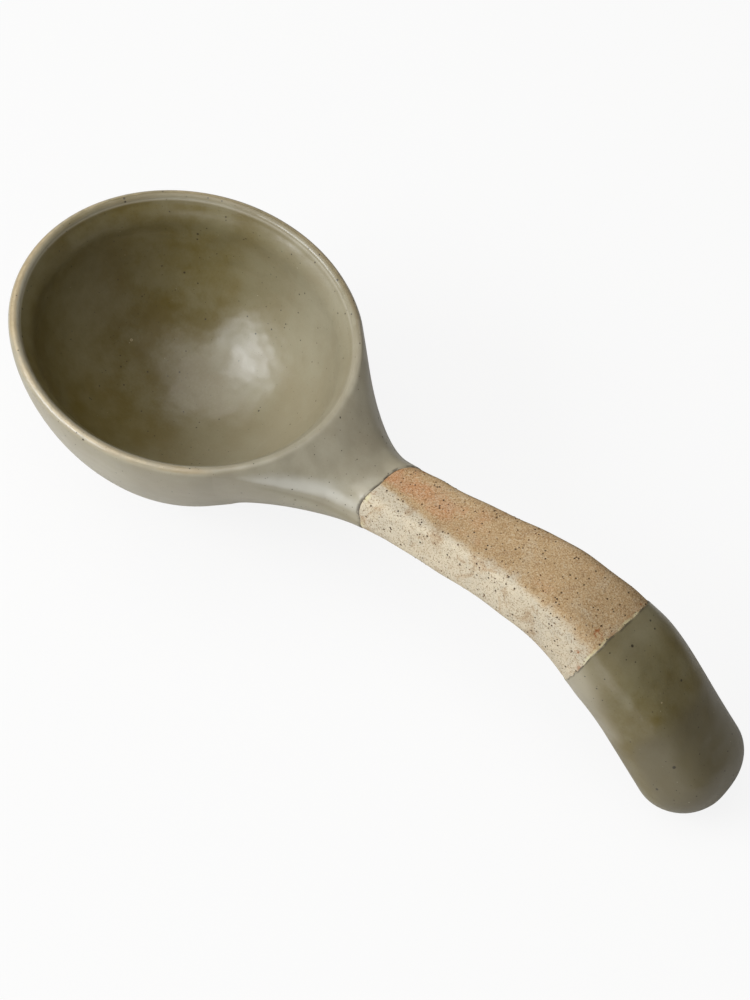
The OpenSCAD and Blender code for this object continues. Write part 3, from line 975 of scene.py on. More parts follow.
class Graph:
    """A node tree under construction, of a material, of the world or of Geometry Nodes."""

    def __init__(self, tree: bpy.types.NodeTree) -> None:
        """Keep the tree."""
        self.tree = tree

    @classmethod
    def of(cls, owner: Material | bpy.types.World) -> "Graph":
        """Start a graph.

        Args:
            owner: The material or world that it belongs to.

        Returns:
            The graph, without a node.
        """
        owner.use_nodes = True
        owner.node_tree.nodes.clear()
        return cls(owner.node_tree)

    def node(self, kind: str, inputs: dict[str | int, object] | None = None,
             **settings: str | bool) -> bpy.types.Node:
        """Add a node.

        Args:
            kind: The node's type.
            inputs: A value, a socket or a Value for each input socket, by name or number.
            settings: The node's own settings, set first.

        Returns:
            The node.
        """
        made = self.tree.nodes.new(kind)
        for name, setting in settings.items():
            setattr(made, name, setting)
        for name, value in (inputs or {}).items():
            socket = made.inputs[name]
            value = value.socket if isinstance(value, Value) else value
            if isinstance(value, Socket):
                self.tree.links.new(value, socket)
            else:
                socket.default_value = value
        return made

    def maths(self, operation: str, *terms: Value | float) -> Value:
        """Return a Math node's result."""
        made = self.node("ShaderNodeMath", dict(enumerate(terms)), operation=operation)
        return Value(self, made.outputs[0])

    def vector(self, operation: str, *terms: object) -> Socket:
        """Return a Vector Math node's vector."""
        return self.node("ShaderNodeVectorMath", dict(enumerate(terms)), operation=operation).outputs[0]

    def attribute(self, trait: Trait) -> Value:
        """Return a point attribute's value."""
        return Value(self, self.node("ShaderNodeAttribute", attribute_name=trait.value).outputs["Fac"])

    def noise(self, place: Socket, *pattern: float) -> Value:
        """Return a noise texture's value, by its scale, detail, roughness and distortion."""
        inputs = dict(zip(("Scale", "Detail", "Roughness", "Distortion"), pattern))
        return Value(self, self.node("ShaderNodeTexNoise", {"Vector": place, **inputs}).outputs["Fac"])

    def dots(self, place: Socket, gap: float, radius: float, chosen: float, softness: float = 0.35) -> Value:
        """Scatter round dots in space.

        Args:
            place: The place, in millimetres.
            gap: Mean distance between the cells that may hold a dot.
            radius: Radius of the largest dots.
            chosen: Share of the cells that hold one.
            softness: Share of the radius over which a dot fades.

        Returns:
            1 inside a dot and 0 outside.
        """
        cell = self.node("ShaderNodeTexVoronoi", {
            "Vector": place, "Scale": 1 / gap, "Randomness": 1.0}, feature="F1")
        parts = self.node("ShaderNodeSeparateColor", {"Color": cell.outputs["Color"]})
        picked, grown = (Value(self, parts.outputs[channel]) for channel in ("Red", "Green"))
        least, most = SMALLEST_DOT * radius / gap, radius / gap
        away = Value(self, cell.outputs["Distance"]) / (grown * (most - least) + least)
        return away.over(1.0, 1.0 - softness) * picked.maths("LESS_THAN", chosen)

    def spots(self, place: Socket, chosen: Sequence[Spot]) -> Value:
        """Mark a few chosen places.

        Args:
            place: The place, in millimetres.
            chosen: Middle and radius of each mark, in millimetres.

        Returns:
            1 inside a mark and 0 outside.
        """
        total: Value | float = 0.0
        for middle, radius in chosen:
            away = self.node("ShaderNodeVectorMath", {0: place, 1: tuple(middle)}, operation="DISTANCE")
            inside = Value(self, away.outputs["Value"]).over(radius, SPOT_CORE * radius)
            total = self.maths("MAXIMUM", total, inside)
        return total

    def blend(self, colour: Colour | Socket, *layers: tuple[Value, Colour | Socket]) -> Socket:
        """Lay colours one after the other over a first one.

        Args:
            colour: The first colour.
            layers: Share and colour of each layer.

        Returns:
            The colour that shows.
        """
        for share, over in layers:
            colour = self.node("ShaderNodeMix", {"Factor": share, 6: colour, 7: over}, data_type="RGBA",
                               clamp_factor=True).outputs[2]
        return colour

    def show_white(self, lit: bpy.types.Node, white: str, share: float, output: str) -> None:
        """End the graph with a shader that is partly white where the camera looks straight at it.

        Args:
            lit: The shader that lights and is lit.
            white: Type of the node that shines white.
            share: How much of it the camera sees.
            output: Type of the output node.
        """
        straight = Value(self, self.node("ShaderNodeLightPath").outputs["Is Camera Ray"])
        shine = self.node(white, {"Color": WHITE, "Strength": 1.0})
        mixed = self.node("ShaderNodeMixShader", {
            0: straight * share, 1: lit.outputs[0], 2: shine.outputs[0]})
        self.node(output, {"Surface": mixed.outputs[0]})


@dataclass(frozen=True)
class Finish:
    """What every finish shares: its name, its sheen, and how its material starts and ends."""

    name: str
    gloss: float  # The shader's specular level.
    relief: float  # Strength of the fine relief.

    def start(self) -> tuple[Material, Graph, Socket]:
        """Start the material.

        Returns:
            The material, its graph and the place on the piece in millimetres.
        """
        material = bpy.data.materials.new(self.name)
        graph = Graph.of(material)
        place = graph.node("ShaderNodeTexCoord").outputs["Object"]
        return material, graph, graph.vector("MULTIPLY", place, (1 / MM,) * 3)

    def end(self, graph: Graph, colour: Socket, roughness: Value, height: Value) -> None:
        """Add the shader.

        Args:
            graph: The material's graph.
            colour: The surface's colour.
            roughness: Its roughness.
            height: Its fine relief, in millimetres.
        """
        bump = graph.node("ShaderNodeBump", {"Height": height, "Strength": self.relief, "Distance": MM})
        shader = graph.node("ShaderNodeBsdfPrincipled", {
            "Specular IOR Level": self.gloss, "Base Color": colour, "Roughness": roughness,
            "Normal": bump.outputs["Normal"]})
        graph.node("ShaderNodeOutputMaterial", {"Surface": shader.outputs["BSDF"]})


@dataclass(frozen=True)
class SatinGlaze(Finish):
    """Satin olive glaze: softly clouded, deeper where it has pooled and where shade is painted, paler where
    highlight and sheen are painted, browner where it runs thin at the rim.

    A noise pattern is its scale, detail, roughness and distortion. A pattern of dots is their gap, radius,
    chosen share and softness.
    """

    name: str = "satin_olive_glaze"
    gloss: float = 0.75
    relief: float = 0.35
    roughness: float = 0.34
    deep: Colour = linear("#645522")
    pooled: Colour = linear("#7a7151")
    ashen: Colour = linear("#655c44")
    even: Colour = linear("#9d947e")
    milky: Colour = linear("#a9a28d")
    shoulder_highlight: Colour = linear("#d3d0c4")
    thin: Colour = linear("#a38f6c")
    bare_edge: Colour = linear("#c2b08c")
    iron: Colour = linear("#2c2212")
    pale: Colour = linear("#bdb59c")
    line_shade: Colour = linear("#3f3420")
    tone_shares: tuple[float, ...] = (0.55, 0.33, 0.12)  # How much clouds, mottle and grain change the tone.
    clouds: Pattern = (0.05, 3, 0.5, 0.3)
    mottle: Pattern = (0.24, 3, 0.55)
    grain: Pattern = (1.9, 3, 0.6)
    wear: Pattern = (0.5, 3, 0.6)
    swell: Pattern = (0.11, 2, 0.5)
    ripple: Pattern = (0.9, 2, 0.5)
    small_iron: Pattern = (1.5, 0.23, 0.45)
    large_iron: Pattern = (4.2, 0.34, 0.25)
    halos: Pattern = (4.2, 0.7, 0.2, 0.9)
    faint_iron: Pattern = (0.95, 0.17, 0.4)
    pale_dots: Pattern = (1.7, 0.15, 0.25)
    pale_shift: tuple[float, ...] = (13.0, 7.0, 5.0)
    pits: Pattern = (3.0, 0.26, 0.2, 0.7)
    pit_shift: tuple[float, ...] = (3.0, 17.0, 11.0)

    def build(self, dark: Sequence[Spot], light: Sequence[Spot]) -> Material:
        """Make the material.

        Args:
            dark: Middle and radius of the iron specks that stand out.
            light: Middle and radius of the pale rings round burst bubbles.

        Returns:
            The material.
        """
        material, g, place = self.start()
        clouds, mottle, grain, wear, swell, ripple = (g.noise(place, *noise) for noise in (
            self.clouds, self.mottle, self.grain, self.wear, self.swell, self.ripple))
        tone = sum(noise * share for noise, share in zip((clouds, mottle, grain), self.tone_shares))
        pool_and_light, rim, inside = (g.attribute(trait) for trait in (Trait.POOL_AND_LIGHT, Trait.RIM, Trait.LINE))
        open_tone = g.blend(self.even, (tone.over(0.38, 0.66), self.milky))
        deep_tone = g.blend(self.deep, (tone.over(0.33, 0.66), self.pooled))
        # Painted highlight: where the pool share falls below 0, the pale streak along the neck's near
        # shoulder, over glaze stretched thin.
        highlight_streak = (0.0 - pool_and_light + (mottle - 0.5) * 0.4).over(0.1, 1.0)
        worn = (rim * 1.2 + wear * 0.6 - 0.3).over(0.3, 1.0) * clouds.over(0.3, 0.6)
        crest = (rim + wear * 0.5).over(1.1, 1.32)
        spread = 1.0 - pool_and_light.over(0.0, 1.2)
        # Painted shade along the coat's raised edge at both glaze lines, broken up by the wear noise.
        edge = inside.over(0.55, 0.15) * (0.25 + 0.75 * wear.over(0.42, 0.56))
        iron = g.dots(place, *self.small_iron).maths("MAXIMUM", g.dots(place, *self.large_iron))
        pale = g.dots(g.vector("ADD", place, self.pale_shift), *self.pale_dots)
        pits = g.dots(g.vector("ADD", place, self.pit_shift), *self.pits)
        colour = g.blend(
            open_tone,
            # The pool share darkens the glaze where it has pooled and where shade is painted: in the hollow,
            # under the lip and towards the handle's tip.
            ((pool_and_light + (mottle - 0.5) * 0.22).over(0.1, 0.95), deep_tone),
            # Greyer and darker where the pool share runs highest, at the handle's tip: pooled glaze and
            # painted shade.
            (pool_and_light.over(0.95, 1.35) * 0.75, self.ashen),
            (highlight_streak * 0.75, self.shoulder_highlight),
            (worn * spread * 0.85, self.thin),
            (crest * spread * 0.75, self.bare_edge),
            (edge * 0.75, self.line_shade),
            (g.dots(place, *self.halos) * 0.25, self.deep),
            (g.dots(place, *self.faint_iron) * 0.4, self.iron),
            (iron * 0.85, self.iron),
            (pale * 0.5, self.pale),
            (g.spots(place, light) * 0.8, self.bare_edge),
            (g.spots(place, dark) * 0.9, self.iron))
        rough = self.roughness + (mottle - 0.5) * 0.2 + iron * 0.12 + edge * 0.15
        self.end(g, colour, rough, swell * 1.6 + ripple * 0.03 - pits * 0.06)
        return material


@dataclass(frozen=True)
class BareStoneware(Finish):
    """Bare speckled stoneware: cream clay toasted by the flame, sandy, with iron specks."""

    name: str = "bare_speckled_stoneware"
    gloss: float = 0.3
    relief: float = 0.75
    roughness: float = 0.88
    cream: Colour = linear("#cabda4")
    grey: Colour = linear("#b9b09d")
    tan: Colour = linear("#b3946a")
    orange: Colour = linear("#b78459")
    rust: Colour = linear("#94592d")
    speck: Colour = linear("#46331e")
    fine_speck: Colour = linear("#7d6243")
    shade: Colour = linear("#9c7c56")
    salt: Colour = linear("#d9d3a8")
    clouds: Pattern = (0.09, 3, 0.6, 0.3)
    mottle: Pattern = (0.45, 4, 0.65)
    grain: Pattern = (3.0, 4, 0.75)
    blotches: Pattern = (0.2, 4, 0.7, 0.6)
    stains: Pattern = (0.35, 3, 0.6)
    salting: Pattern = (0.22, 2, 0.5)
    rusting: Pattern = (1.1, 3, 0.6)
    sand: Pattern = (1.2, 3, 0.6)
    fine_specks: Pattern = (0.55, 0.17, 0.6)
    specks: Pattern = (1.05, 0.29, 0.55)

    def build(self, rusty: Sequence[Spot]) -> Material:
        """Make the material.

        Args:
            rusty: Middle and radius of the rust stains that stand out.

        Returns:
            The material.
        """
        material, g, place = self.start()
        clouds, mottle, grain, blotch, stain, salting, rusting, sand = (g.noise(place, *noise) for noise in (
            self.clouds, self.mottle, self.grain, self.blotches, self.stains, self.salting, self.rusting,
            self.sand))
        # The toast share also carries painted light: the near side face is painted paler where it faces the
        # lamp.
        toast_and_light = g.attribute(Trait.TOAST_AND_LIGHT) + (clouds - 0.5) * 0.9 + (mottle - 0.5) * 0.5
        bare = 0.0 - g.attribute(Trait.LINE)
        specks = g.dots(place, *self.specks)
        colour = g.blend(
            self.cream,
            ((clouds + mottle).over(1.15, 0.85) * 0.6, self.grey),
            (toast_and_light.over(0.25, 0.7), self.tan),
            (toast_and_light.over(0.75, 1.2), self.orange),
            (blotch.over(0.52, 0.68) * 0.2, self.cream),
            (blotch.over(0.49, 0.34) * 0.6, self.shade),
            (grain.over(0.48, 0.66) * 0.6, self.cream),
            (grain.over(0.50, 0.36) * 0.7, self.fine_speck),
            (bare.over(1.3, 0.1) * stain.over(0.5, 0.68) * 0.6, self.rust),
            (bare.over(0.7, 0.2) * salting.over(0.52, 0.64) * 0.6, self.salt),
            (g.spots(place, rusty) * rusting.over(0.46, 0.58) * 0.9, self.rust),
            (g.dots(place, *self.fine_specks) * 0.7, self.fine_speck),
            (specks * 0.9, self.speck))
        height = grain * 0.1 + sand * 0.14 + mottle * 0.12 - specks * 0.05
        self.end(g, colour, self.roughness + (mottle - 0.5) * 0.1, height)
        return material


@dataclass(frozen=True)
class IronGrain(Finish):
    """Grains of iron that show in the bare clay."""

    name: str = "iron_grain"
    gloss: float = 0.4
    relief: float = 0.5
    roughness: float = 0.6
    dark: Colour = linear("#33240f")
    brown: Colour = linear("#6b4a28")

    def build(self) -> Material:
        """Make the material.

        Returns:
            The material.
        """
        material, g, place = self.start()
        tone = g.noise(place, 1.1, 2, 0.5)
        colour = g.blend(self.dark, (tone.over(0.42, 0.66), self.brown))
        self.end(g, colour, self.roughness + (tone - 0.5) * 0.3, g.noise(place, 9.0, 2) * 0.02)
        return material


class GeometryTree:
    """A Geometry Nodes tree with named inputs, and its use on an object."""

    SOCKETS = {float: "NodeSocketFloat", int: "NodeSocketInt", Material: "NodeSocketMaterial"}

    def __init__(self, name: str, material: Material, inputs: dict[str, float | int]) -> None:
        """Start a tree.

        Args:
            name: The tree's name.
            material: The finish of what it makes.
            inputs: A value for each other named input besides the geometry.
        """
        self.tree = bpy.data.node_groups.new(name, "GeometryNodeTree")
        face = self.tree.interface
        face.new_socket("Geometry", in_out="INPUT", socket_type="NodeSocketGeometry")
        face.new_socket("Geometry", in_out="OUTPUT", socket_type="NodeSocketGeometry")
        self.values = {}
        for key, value in {**inputs, "Material": material}.items():
            made = face.new_socket(key, in_out="INPUT", socket_type=self.SOCKETS[type(value)])
            self.values[made.identifier] = value
        self.graph = Graph(self.tree)
        self.source = self.graph.node("NodeGroupInput")

    def value(self, name: str) -> Value:
        """Return a named input as a value."""
        return Value(self.graph, self.source.outputs[name])

    def finish(self, geometry: Socket) -> None:
        """End the tree: real geometry, its finish, and the output.

        Args:
            geometry: What the tree makes.
        """
        g = self.graph
        real = g.node("GeometryNodeRealizeInstances", {"Geometry": geometry})
        dressed = g.node("GeometryNodeSetMaterial", {
            "Geometry": real.outputs[0], "Material": self.source.outputs["Material"]})
        g.node("NodeGroupOutput", {"Geometry": dressed.outputs[0]})

    def make(self, name: str, carrier: bpy.types.Mesh) -> Object:
        """Run the tree and keep its result as a plain mesh.

        Args:
            name: Name of the new piece.
            carrier: The mesh that the tree starts from.

        Returns:
            The new object, without a modifier.
        """
        made = add_object(name, carrier)
        modifier = made.modifiers.new("shape", "NODES")
        modifier.node_group = self.tree
        for identifier, value in self.values.items():
            modifier[identifier] = value
        mesh = bpy.data.meshes.new_from_object(made.evaluated_get(bpy.context.evaluated_depsgraph_get()))
        made.modifiers.remove(modifier)
        mesh.name = name
        made.data = mesh
        return made


@dataclass
class ThrownClay:
    """The thrown bowl under its glaze: a section turned by a Geometry Nodes rule, with a bare foot."""

    spoon: Spoon
    columns: int = 168
    rows: int = 120
    weld: float = 1e-6  # Points that lie closer than this, in metres, become one.

    def tree(self, material: Material) -> GeometryTree:
        """Build the rule: a flat sheet of rows and columns is turned into hollow, lip, outside and foot.

        Args:
            material: The clay's finish.

        Returns:
            The tree.
        """
        wall = self.spoon.wall
        made = GeometryTree("turned_wall", material, {
            "Outer Radius": wall.width / 2 * MM, "Length Share": wall.length / wall.width,
            "Lip Height": wall.lip_z * MM, "Lip": wall.lip * MM, "Wall": wall.wall * MM,
            "Taper": wall.taper * MM, "Floor": wall.floor * MM, "Outer Depth": wall.depth * MM,
            "Power": wall.power, "Hollow Power": wall.hollow_power, "Foot Angle": wall.foot_angle,
            "Columns": self.columns, "Rows": self.rows})
        g = made.graph
        radius, lip_z, lip, thick, power, hollow_power = (made.value(name) for name in (
            "Outer Radius", "Lip Height", "Lip", "Wall", "Power", "Hollow Power"))
        sheet = g.node("GeometryNodeMeshGrid", {
            "Size X": 1.0, "Size Y": 1.0, "Vertices X": made.value("Columns") + 1,
            "Vertices Y": made.value("Rows") + 1})
        spot = g.node("ShaderNodeSeparateXYZ", {0: g.node("GeometryNodeInputPosition").outputs[0]})
        turn = (Value(g, spot.outputs["X"]) + 0.5) * (2 * math.pi)
        # The hollow lies where v is up to 1, the lip up to 2, the outside up to 3 and the foot up to 4.
        v = (Value(g, spot.outputs["Y"]) + 0.5) * 4
        a_in = v.maths("MINIMUM", 1.0) * (math.pi / 2)
        a_lip = (2.0 - v.within(1.0, 2.0)) * math.pi
        a_out = (math.pi / 2) + (v.within(2.0, 3.0) - 2.0) * (made.value("Foot Angle") - math.pi / 2)
        drop = (lip_z - made.value("Floor")) * a_in.maths("COSINE").maths("MAXIMUM", 0.0) ** hollow_power
        lean = (1.0 - drop / made.value("Taper")).maths("MAXIMUM", 0.0) ** 2.0
        thick = thick + lean * (lip - thick)
        r_in = (radius - thick) * a_in.maths("SINE") ** hollow_power
        r_lip = radius - lip / 2.0 + lip / 2.0 * a_lip.maths("COSINE")
        z_lip = lip_z + lip / 2.0 * a_lip.maths("SINE")
        r_out = radius * a_out.maths("SINE") ** power
        z_out = lip_z - made.value("Outer Depth") * a_out.maths("COSINE").maths("MAXIMUM", 0.0) ** power
        reach, level = r_out * (4.0 - v.maths("MAXIMUM", 3.0)), z_out
        for end, r, z in ((3.0, r_out, z_out), (2.0, r_lip, z_lip), (1.0, r_in, lip_z - drop)):
            before = v.maths("LESS_THAN", end)
            reach = before * r + (1.0 - before) * reach
            level = before * z + (1.0 - before) * level
        place = g.node("ShaderNodeCombineXYZ", {
            "X": reach * turn.maths("COSINE") * made.value("Length Share"),
            "Y": reach * turn.maths("SINE"), "Z": level})
        moved = g.node("GeometryNodeSetPosition", {
            "Geometry": sheet.outputs["Mesh"], "Position": place.outputs[0]})
        closed = g.node("GeometryNodeMergeByDistance", {
            "Geometry": moved.outputs[0], "Distance": self.weld})
        made.finish(g.node("GeometryNodeSetShadeSmooth", {"Geometry": closed.outputs[0]}).outputs[0])
        return made

    def build(self, material: Material) -> Object:
        """Return the clay bowl."""
        made = self.tree(material).make("thrown_bowl_clay", bpy.data.meshes.new("thrown_bowl_carrier"))
        return hand_over(made, Slot.CLAY, "clay_bowl")


@dataclass
class CarvedHandle:
    """The carved clay of the neck and handle, and the iron grains that show in its bare band."""

    spoon: Spoon
    toast_edge: tuple[Span, ...] = ((0, 95), (8, 108), (16, 117), (31, 122), (50, 132))
    near_top: Span = (-8.0, 18.0)  # Degrees from that edge over which the pale near side begins, pale partly as painted light where it faces the lamp.
    near_foot: Span = (290.0, 250.0)
    paleness_and_light: Span = (0.7, 0.52)  # How much paler the near side is, as less toast and as painted light, towards the neck and towards the end.
    pale_turn: Span = (18.0, 43.0)
    hot_along: Span = (3.0, 7.0)  # The hottest spot, by its middle and width along the arm and round it.
    hot_round: Span = (84.0, 24.0)
    hot_share: float = 0.4
    top_share: float = 0.72
    tip_share: float = 0.1
    density: float = 2.2e5  # Grains for each square metre.
    smallest: float = 0.07
    largest: float = 0.23
    flatness: float = 0.35
    narrowness: float = 0.8
    fewer_large: float = 1.8  # Power that makes large grains rarer than small ones.

    def toast_and_light_share(self) -> Array:
        """Tell how toasted the handle is: the top face most, the near side face least, where the paleness is
        partly painted light on the side that faces the lamp.

        Returns:
            The share at each point.
        """
        spoon = self.spoon
        degrees = spoon.arm.angle(spoon.m)[None, :] % 360
        s = spoon.s[:, None]
        edge = np.interp(s, *np.array(self.toast_edge).T)
        lit_near_side = rise(degrees - edge, *self.near_top) * rise(degrees, *self.near_foot)
        hot = self.hot_share * hump(s, *self.hot_along) * hump(degrees, *self.hot_round)
        share = self.top_share - mix(*self.paleness_and_light, rise(s, *self.pale_turn)) * lit_near_side + hot
        return spoon.values(np.zeros(1), share, self.tip_share)

    def build(self, material: Material) -> Object:
        """Make the carved handle, closed against the bowl's wall.

        Args:
            material: The clay's finish.

        Returns:
            The handle.
        """
        spoon = self.spoon
        root = [tuple(reversed(face)) for face in spoon.bowl_faces(spoon.wall.keel, True)]
        net = Net(spoon.net.points, root + spoon.arm_faces(0, spoon.s.size), {
            Trait.LINE: spoon.line_distance(), Trait.TOAST_AND_LIGHT: self.toast_and_light_share()})
        return hand_over(net.to_object("carved_handle_clay", material), Slot.CLAY, "clay_handle")

    def grains(self, clay: Material, iron: Material) -> Object:
        """Scatter the iron grains by Geometry Nodes: flattened beads, sunk into the bare band.

        Args:
            clay: The clay's finish.
            iron: The grains' finish.

        Returns:
            The grains.
        """
        spoon = self.spoon
        first, last = spoon.arm_row(spoon.upper.place + 1.0), spoon.arm_row(spoon.lower.place - 1.0)
        band = Net(spoon.net.points, spoon.arm_faces(first, last)).to_object("band_carrier", clay)
        made = GeometryTree("scattered_grains", iron, {
            "Density": self.density, "Seed": SEED, "Smallest": self.smallest * MM,
            "Largest": self.largest * MM, "Flatness": self.flatness})
        g = made.graph
        spread = g.node("GeometryNodeDistributePointsOnFaces", {
            "Mesh": made.source.outputs["Geometry"], "Density": made.value("Density"),
            "Seed": made.value("Seed")}, distribute_method="RANDOM")
        size = g.node("FunctionNodeRandomValue", {
            2: 0.0, 3: 1.0, "Seed": made.value("Seed")}, data_type="FLOAT")
        grown = Value(g, size.outputs[1]) ** self.fewer_large
        radius = made.value("Smallest") + grown * (made.value("Largest") - made.value("Smallest"))
        scale = g.node("ShaderNodeCombineXYZ", {
            "X": radius, "Y": radius * self.narrowness, "Z": radius * made.value("Flatness")})
        bead = g.node("GeometryNodeMeshIcoSphere", {"Radius": 1.0, "Subdivisions": 2})
        soft = g.node("GeometryNodeSetShadeSmooth", {"Geometry": bead.outputs["Mesh"]})
        placed = g.node("GeometryNodeInstanceOnPoints", {
            "Points": spread.outputs["Points"], "Instance": soft.outputs[0],
            "Rotation": spread.outputs["Rotation"], "Scale": scale.outputs[0]})
        made.finish(placed.outputs["Instances"])
        grains = made.make("iron_grains", band.data)
        bpy.data.objects.remove(band)
        return hand_over(grains, Slot.CLAY)


@dataclass
class Coats:
    """The two dipped coats of glaze: over the bowl and neck, and over the handle's end."""

    spoon: Spoon
    material: Material

    def __post_init__(self) -> None:
        """Work out what the glaze's finish reads."""
        spoon = self.spoon
        spoon.net.traits = {Trait.LINE: spoon.line_distance(), Trait.RIM: spoon.rim_share(),
                            Trait.POOL_AND_LIGHT: spoon.pool_and_light_share()}

    def dip(self, faces: list[Face], name: str, node: str) -> Object:
        """Return a coat over faces of the clay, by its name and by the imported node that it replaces."""
        net = self.spoon.coat_net(faces, self.spoon.net.traits[Trait.LINE])
        return hand_over(net.to_object(name, self.material), Slot.GLAZE, node)

    def bowl(self) -> Object:
        """Make the first coat: inside the bowl, over the lip, down to the foot line and along the neck.

        Returns:
            The coat.
        """
        spoon = self.spoon
        last = spoon.arm_row(spoon.upper.place)
        faces = spoon.bowl_faces(spoon.wall.glaze_row, False) + spoon.arm_faces(0, last)
        return self.dip(faces, "bowl_glaze_coat", "bowl_glaze")

    def end(self) -> Object:
        """Return the second coat: over the handle's end."""
        faces = self.spoon.arm_faces(self.spoon.arm_row(self.spoon.lower.place), self.spoon.s.size)
        return self.dip(faces, "handle_end_glaze_coat", "handle_end_glaze")


@dataclass(frozen=True)
class Lamp:
    """A soft lamp that faces the spoon."""

    name: str
    azimuth: float  # Its angle round the spoon, in degrees.
    elevation: float  # Its angle above the table.
    distance: float  # Its distance, in metres.
    size: Span  # Its width and height, in metres.
    strength: float  # How brightly it alone lights a white surface that faces it, where 1 renders white.
    colour: Colour = WHITE

    def light(self, target: Vector) -> None:
        """Add the lamp to the scene.

        Args:
            target: The point that it faces, in metres.
        """
        way = direction(self.azimuth, self.elevation)
        data = bpy.data.lights.new(self.name, "AREA")
        data.shape = "RECTANGLE"
        data.size, data.size_y = self.size
        data.energy = self.strength * math.pi ** 2 * self.distance ** 2
        data.color = self.colour[:3]
        made = add_object(self.name, data)
        made.location = target + way * self.distance
        made.rotation_mode = "QUATERNION"
        made.rotation_quaternion = way.to_track_quat("Z", "Y")


@dataclass
class Studio:
    """The photographer's table: a pale floor, soft light and the camera."""

    target: tuple[float, float, float] = (55.0, 0.0, 18.0)  # The point that the camera looks at.
    azimuth: float = 30.54  # The camera's angle round the spoon, in degrees.
    elevation: float = 57.57  # Its angle above the table.
    roll: float = 7.59  # Its turn about its own line of sight.
    distance: float = 761.7  # Its distance from the target.
    pixels_per_mm: float = 4.983  # The picture's scale at the target.
    frame_px: tuple[int, int] = (750, 1000)  # The picture's width and height.
    shift_px: Span = (23.5, 40.2)  # How far the target is right of and below its middle.
    sensor: float = 36.0  # Width of the camera's sensor.
    clip: Span = (0.01, 10.0)  # Nearest and farthest distance that it sees, in metres.
    ambient: float = 0.1  # Strength of the world's own light.
    sky: Colour = linear("#f2f4f6")
    floor_colour: Colour = linear("#d9d7d3")
    floor_half: float = 3.0  # Half the floor's width, in metres.
    floor_gap: float = 0.02  # How far the floor lies below the foot, so that no two faces share a plane.
    floor_white: float = 0.88  # How much of the floor's white the camera sees.
    lamps: tuple[Lamp, ...] = (
        Lamp("window", -42, 34, 1.1, (0.72, 0.42), 0.84, linear("#f6faff")),
        Lamp("front", 22, 9, 1.1, (0.8, 0.25), 0.12),
        Lamp("ceiling", -60, 70, 1.4, (1.5, 1.5), 0.7),
        Lamp("fill", 60, 60, 1.4, (1.0, 1.0), 0.05))

    def axes(self) -> tuple[Vector, Vector, Vector]:
        """Turn the picture as the camera is turned.

        Returns:
            The picture's directions to the right, upward and back to the camera.
        """
        back = direction(self.azimuth, self.elevation)
        right = Vector((math.cos(math.radians(self.azimuth)), math.sin(math.radians(self.azimuth)), 0))
        up = back.cross(right)
        turn = math.radians(self.roll)
        return (right * math.cos(turn) + up * math.sin(turn),
                up * math.cos(turn) - right * math.sin(turn), back)

    def seen_at(self, marks: Marks, points: Array) -> list[Spot]:
        """Find where marks in the picture lie on a surface.

        Args:
            marks: Pixel of each mark, counted from the picture's upper left corner, and its radius.
            points: The surface's points.

        Returns:
            For each mark the nearest point in the picture that nothing hides, and its radius.
        """
        x, y, back = (np.array(axis) for axis in self.axes())
        away = points - np.array(self.target)
        depth = self.distance - away @ back
        scale = self.pixels_per_mm * self.distance / depth
        across = self.frame_px[0] / 2 + self.shift_px[0] + scale * (away @ x)
        down = self.frame_px[1] / 2 + self.shift_px[1] - scale * (away @ y)
        found = []
        for column, row, radius in marks:
            miss = np.hypot(across - column, down - row)
            front = depth[miss < NEAR_PX].min() + NEAR_PX / self.pixels_per_mm
            found.append((points[np.where(depth < front, miss, np.inf).argmin()], radius))
        return found

    def camera(self) -> None:
        """Set up the camera."""
        data = bpy.data.cameras.new("camera")
        data.lens = self.sensor * self.pixels_per_mm * self.distance / max(self.frame_px)
        data.sensor_width = self.sensor
        data.clip_start, data.clip_end = self.clip
        data.shift_x = -self.shift_px[0] / max(self.frame_px)
        data.shift_y = self.shift_px[1] / max(self.frame_px)
        made = add_object("camera", data)
        place = (Vector(self.target) + self.axes()[2] * self.distance) * MM
        made.matrix_world = Matrix.Translation(place) @ Matrix(self.axes()).transposed().to_4x4()
        bpy.context.scene.camera = made

    def surroundings(self) -> None:
        """Set up the world: soft grey light, and white where the camera looks straight at it."""
        world = bpy.data.worlds.new("studio")
        bpy.context.scene.world = world
        g = Graph.of(world)
        soft = g.node("ShaderNodeBackground", {"Color": self.sky, "Strength": self.ambient})
        g.show_white(soft, "ShaderNodeBackground", 1.0, "ShaderNodeOutputWorld")

    def floor(self) -> None:
        """Lay a pale floor that keeps the spoon's soft shadow."""
        half, low = self.floor_half, -self.floor_gap * MM
        mesh = bpy.data.meshes.new("floor")
        corners = [(-half, -half, low), (half, -half, low), (half, half, low), (-half, half, low)]
        mesh.from_pydata(corners, [], [(0, 1, 2, 3)])
        material = bpy.data.materials.new("pale_floor")
        g = Graph.of(material)
        matt = g.node("ShaderNodeBsdfDiffuse", {"Color": self.floor_colour})
        g.show_white(matt, "ShaderNodeEmission", self.floor_white, "ShaderNodeOutputMaterial")
        mesh.materials.append(material)
        add_object("floor", mesh)

    def build(self) -> None:
        """Set up everything that isn't the spoon."""
        bpy.context.scene.view_settings.view_transform = "Standard"
        self.camera()
        self.floor()
        self.surroundings()
        for lamp in self.lamps:
            lamp.light(Vector(self.target) * MM)


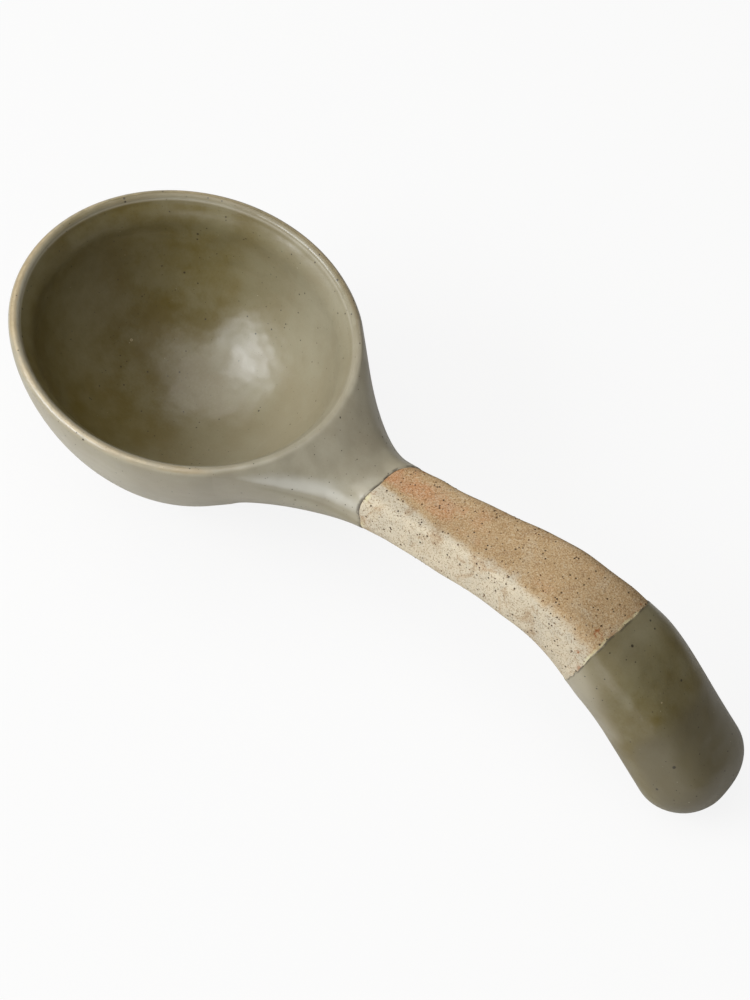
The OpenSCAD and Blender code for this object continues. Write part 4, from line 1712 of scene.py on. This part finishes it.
@dataclass(frozen=True)
class StandingOut:
    """Marks that stand out in the picture: the pixel and the radius in millimetres of each."""

    # Iron specks in the bowl, on the rim and on the handle's end.
    specks: Marks = (
        (125, 194, 0.34), (125, 198, 0.3), (125, 202, 0.26), (208, 198, 0.2), (222, 201, 0.2),
        (337, 280, 0.3), (360, 335, 0.26), (71, 340, 0.2), (150, 430, 0.18), (84, 440, 0.28),
        (292, 254, 0.2), (267, 258, 0.16), (261, 410, 0.26), (261, 450, 0.2), (340, 418, 0.18),
        (632, 645, 0.42), (651, 620, 0.34), (655, 628, 0.28), (680, 680, 0.32), (675, 770, 0.44),
        (657, 792, 0.38))
    # Burst bubbles, each a pale ring round a dark hole.
    bubbles: Marks = ((131, 338, 0.34), (660, 702, 0.2))
    # Rust stains in the bare band.
    stains: Marks = ((597, 633, 1.3), (577, 651, 0.9), (642, 606, 0.7), (424, 470, 0.8))
    hole_share: float = 0.45  # A hole's radius as a share of its ring's.

    def glaze(self, studio: Studio, spoon: Spoon) -> Material:
        """Make the glaze's finish, with its marks in place.

        Args:
            studio: Holds the camera that sees the marks.
            spoon: The spoon under the glaze.

        Returns:
            The material.
        """
        skin = spoon.net.points + spoon.coat.thickness * spoon.net.normals()
        dark, light = studio.seen_at(self.specks, skin), studio.seen_at(self.bubbles, skin)
        holes = [(place, radius * self.hole_share) for place, radius in light]
        return SatinGlaze().build(dark + holes, light)

    def clay(self, studio: Studio, spoon: Spoon) -> Material:
        """Return the bare clay's finish, with its stains in place."""
        return BareStoneware().build(studio.seen_at(self.stains, spoon.net.points))


def spoon_from_frame() -> Spoon:
    """Take the bowl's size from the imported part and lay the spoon's surface on it.

    Returns:
        The spoon's surface.
    """
    low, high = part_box("clay_bowl")
    size = (high - low) / MM
    wall = Wall(length=size.x, width=size.y, height=size.z)
    arm = Arm(wall)
    upper = GlazeLine(place=0.0, seed=3, turns=(
        (0, 1.7), (50, 1.7), (68, 0.6), (94, 0.1), (128, -0.5), (152, -0.7), (183, -0.4), (260, 0.4),
        (360, 1.7)))
    lower = GlazeLine(place=arm.end_line, seed=11, turns=(
        (0, 0.9), (55, 0.5), (75, 0.1), (96, -0.3), (117, -0.8), (137, -0.7), (161, 0), (199, 1.5),
        (280, 1.2), (360, 0.9)))
    return Spoon(wall, arm, upper, lower)


def main() -> None:
    """Build the spoon piece by piece, then the studio round it."""
    logging.basicConfig(level=logging.INFO, format="%(name)s: %(message)s")
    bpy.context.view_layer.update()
    spoon, studio, marks = spoon_from_frame(), Studio(), StandingOut()
    glaze, clay, iron = marks.glaze(studio, spoon), marks.clay(studio, spoon), IronGrain().build()
    bowl, handle, coats = ThrownClay(spoon), CarvedHandle(spoon), Coats(spoon, glaze)
    steps: list[Callable[[], Object]] = [
        lambda: bowl.build(clay), lambda: handle.build(clay), lambda: handle.grains(clay, iron),
        coats.bowl, coats.end]
    for step in steps:
        piece = step()
        log.info("%s: %d faces", piece.name, len(piece.data.polygons))
    studio.build()


if __name__ == "__main__":
    main()
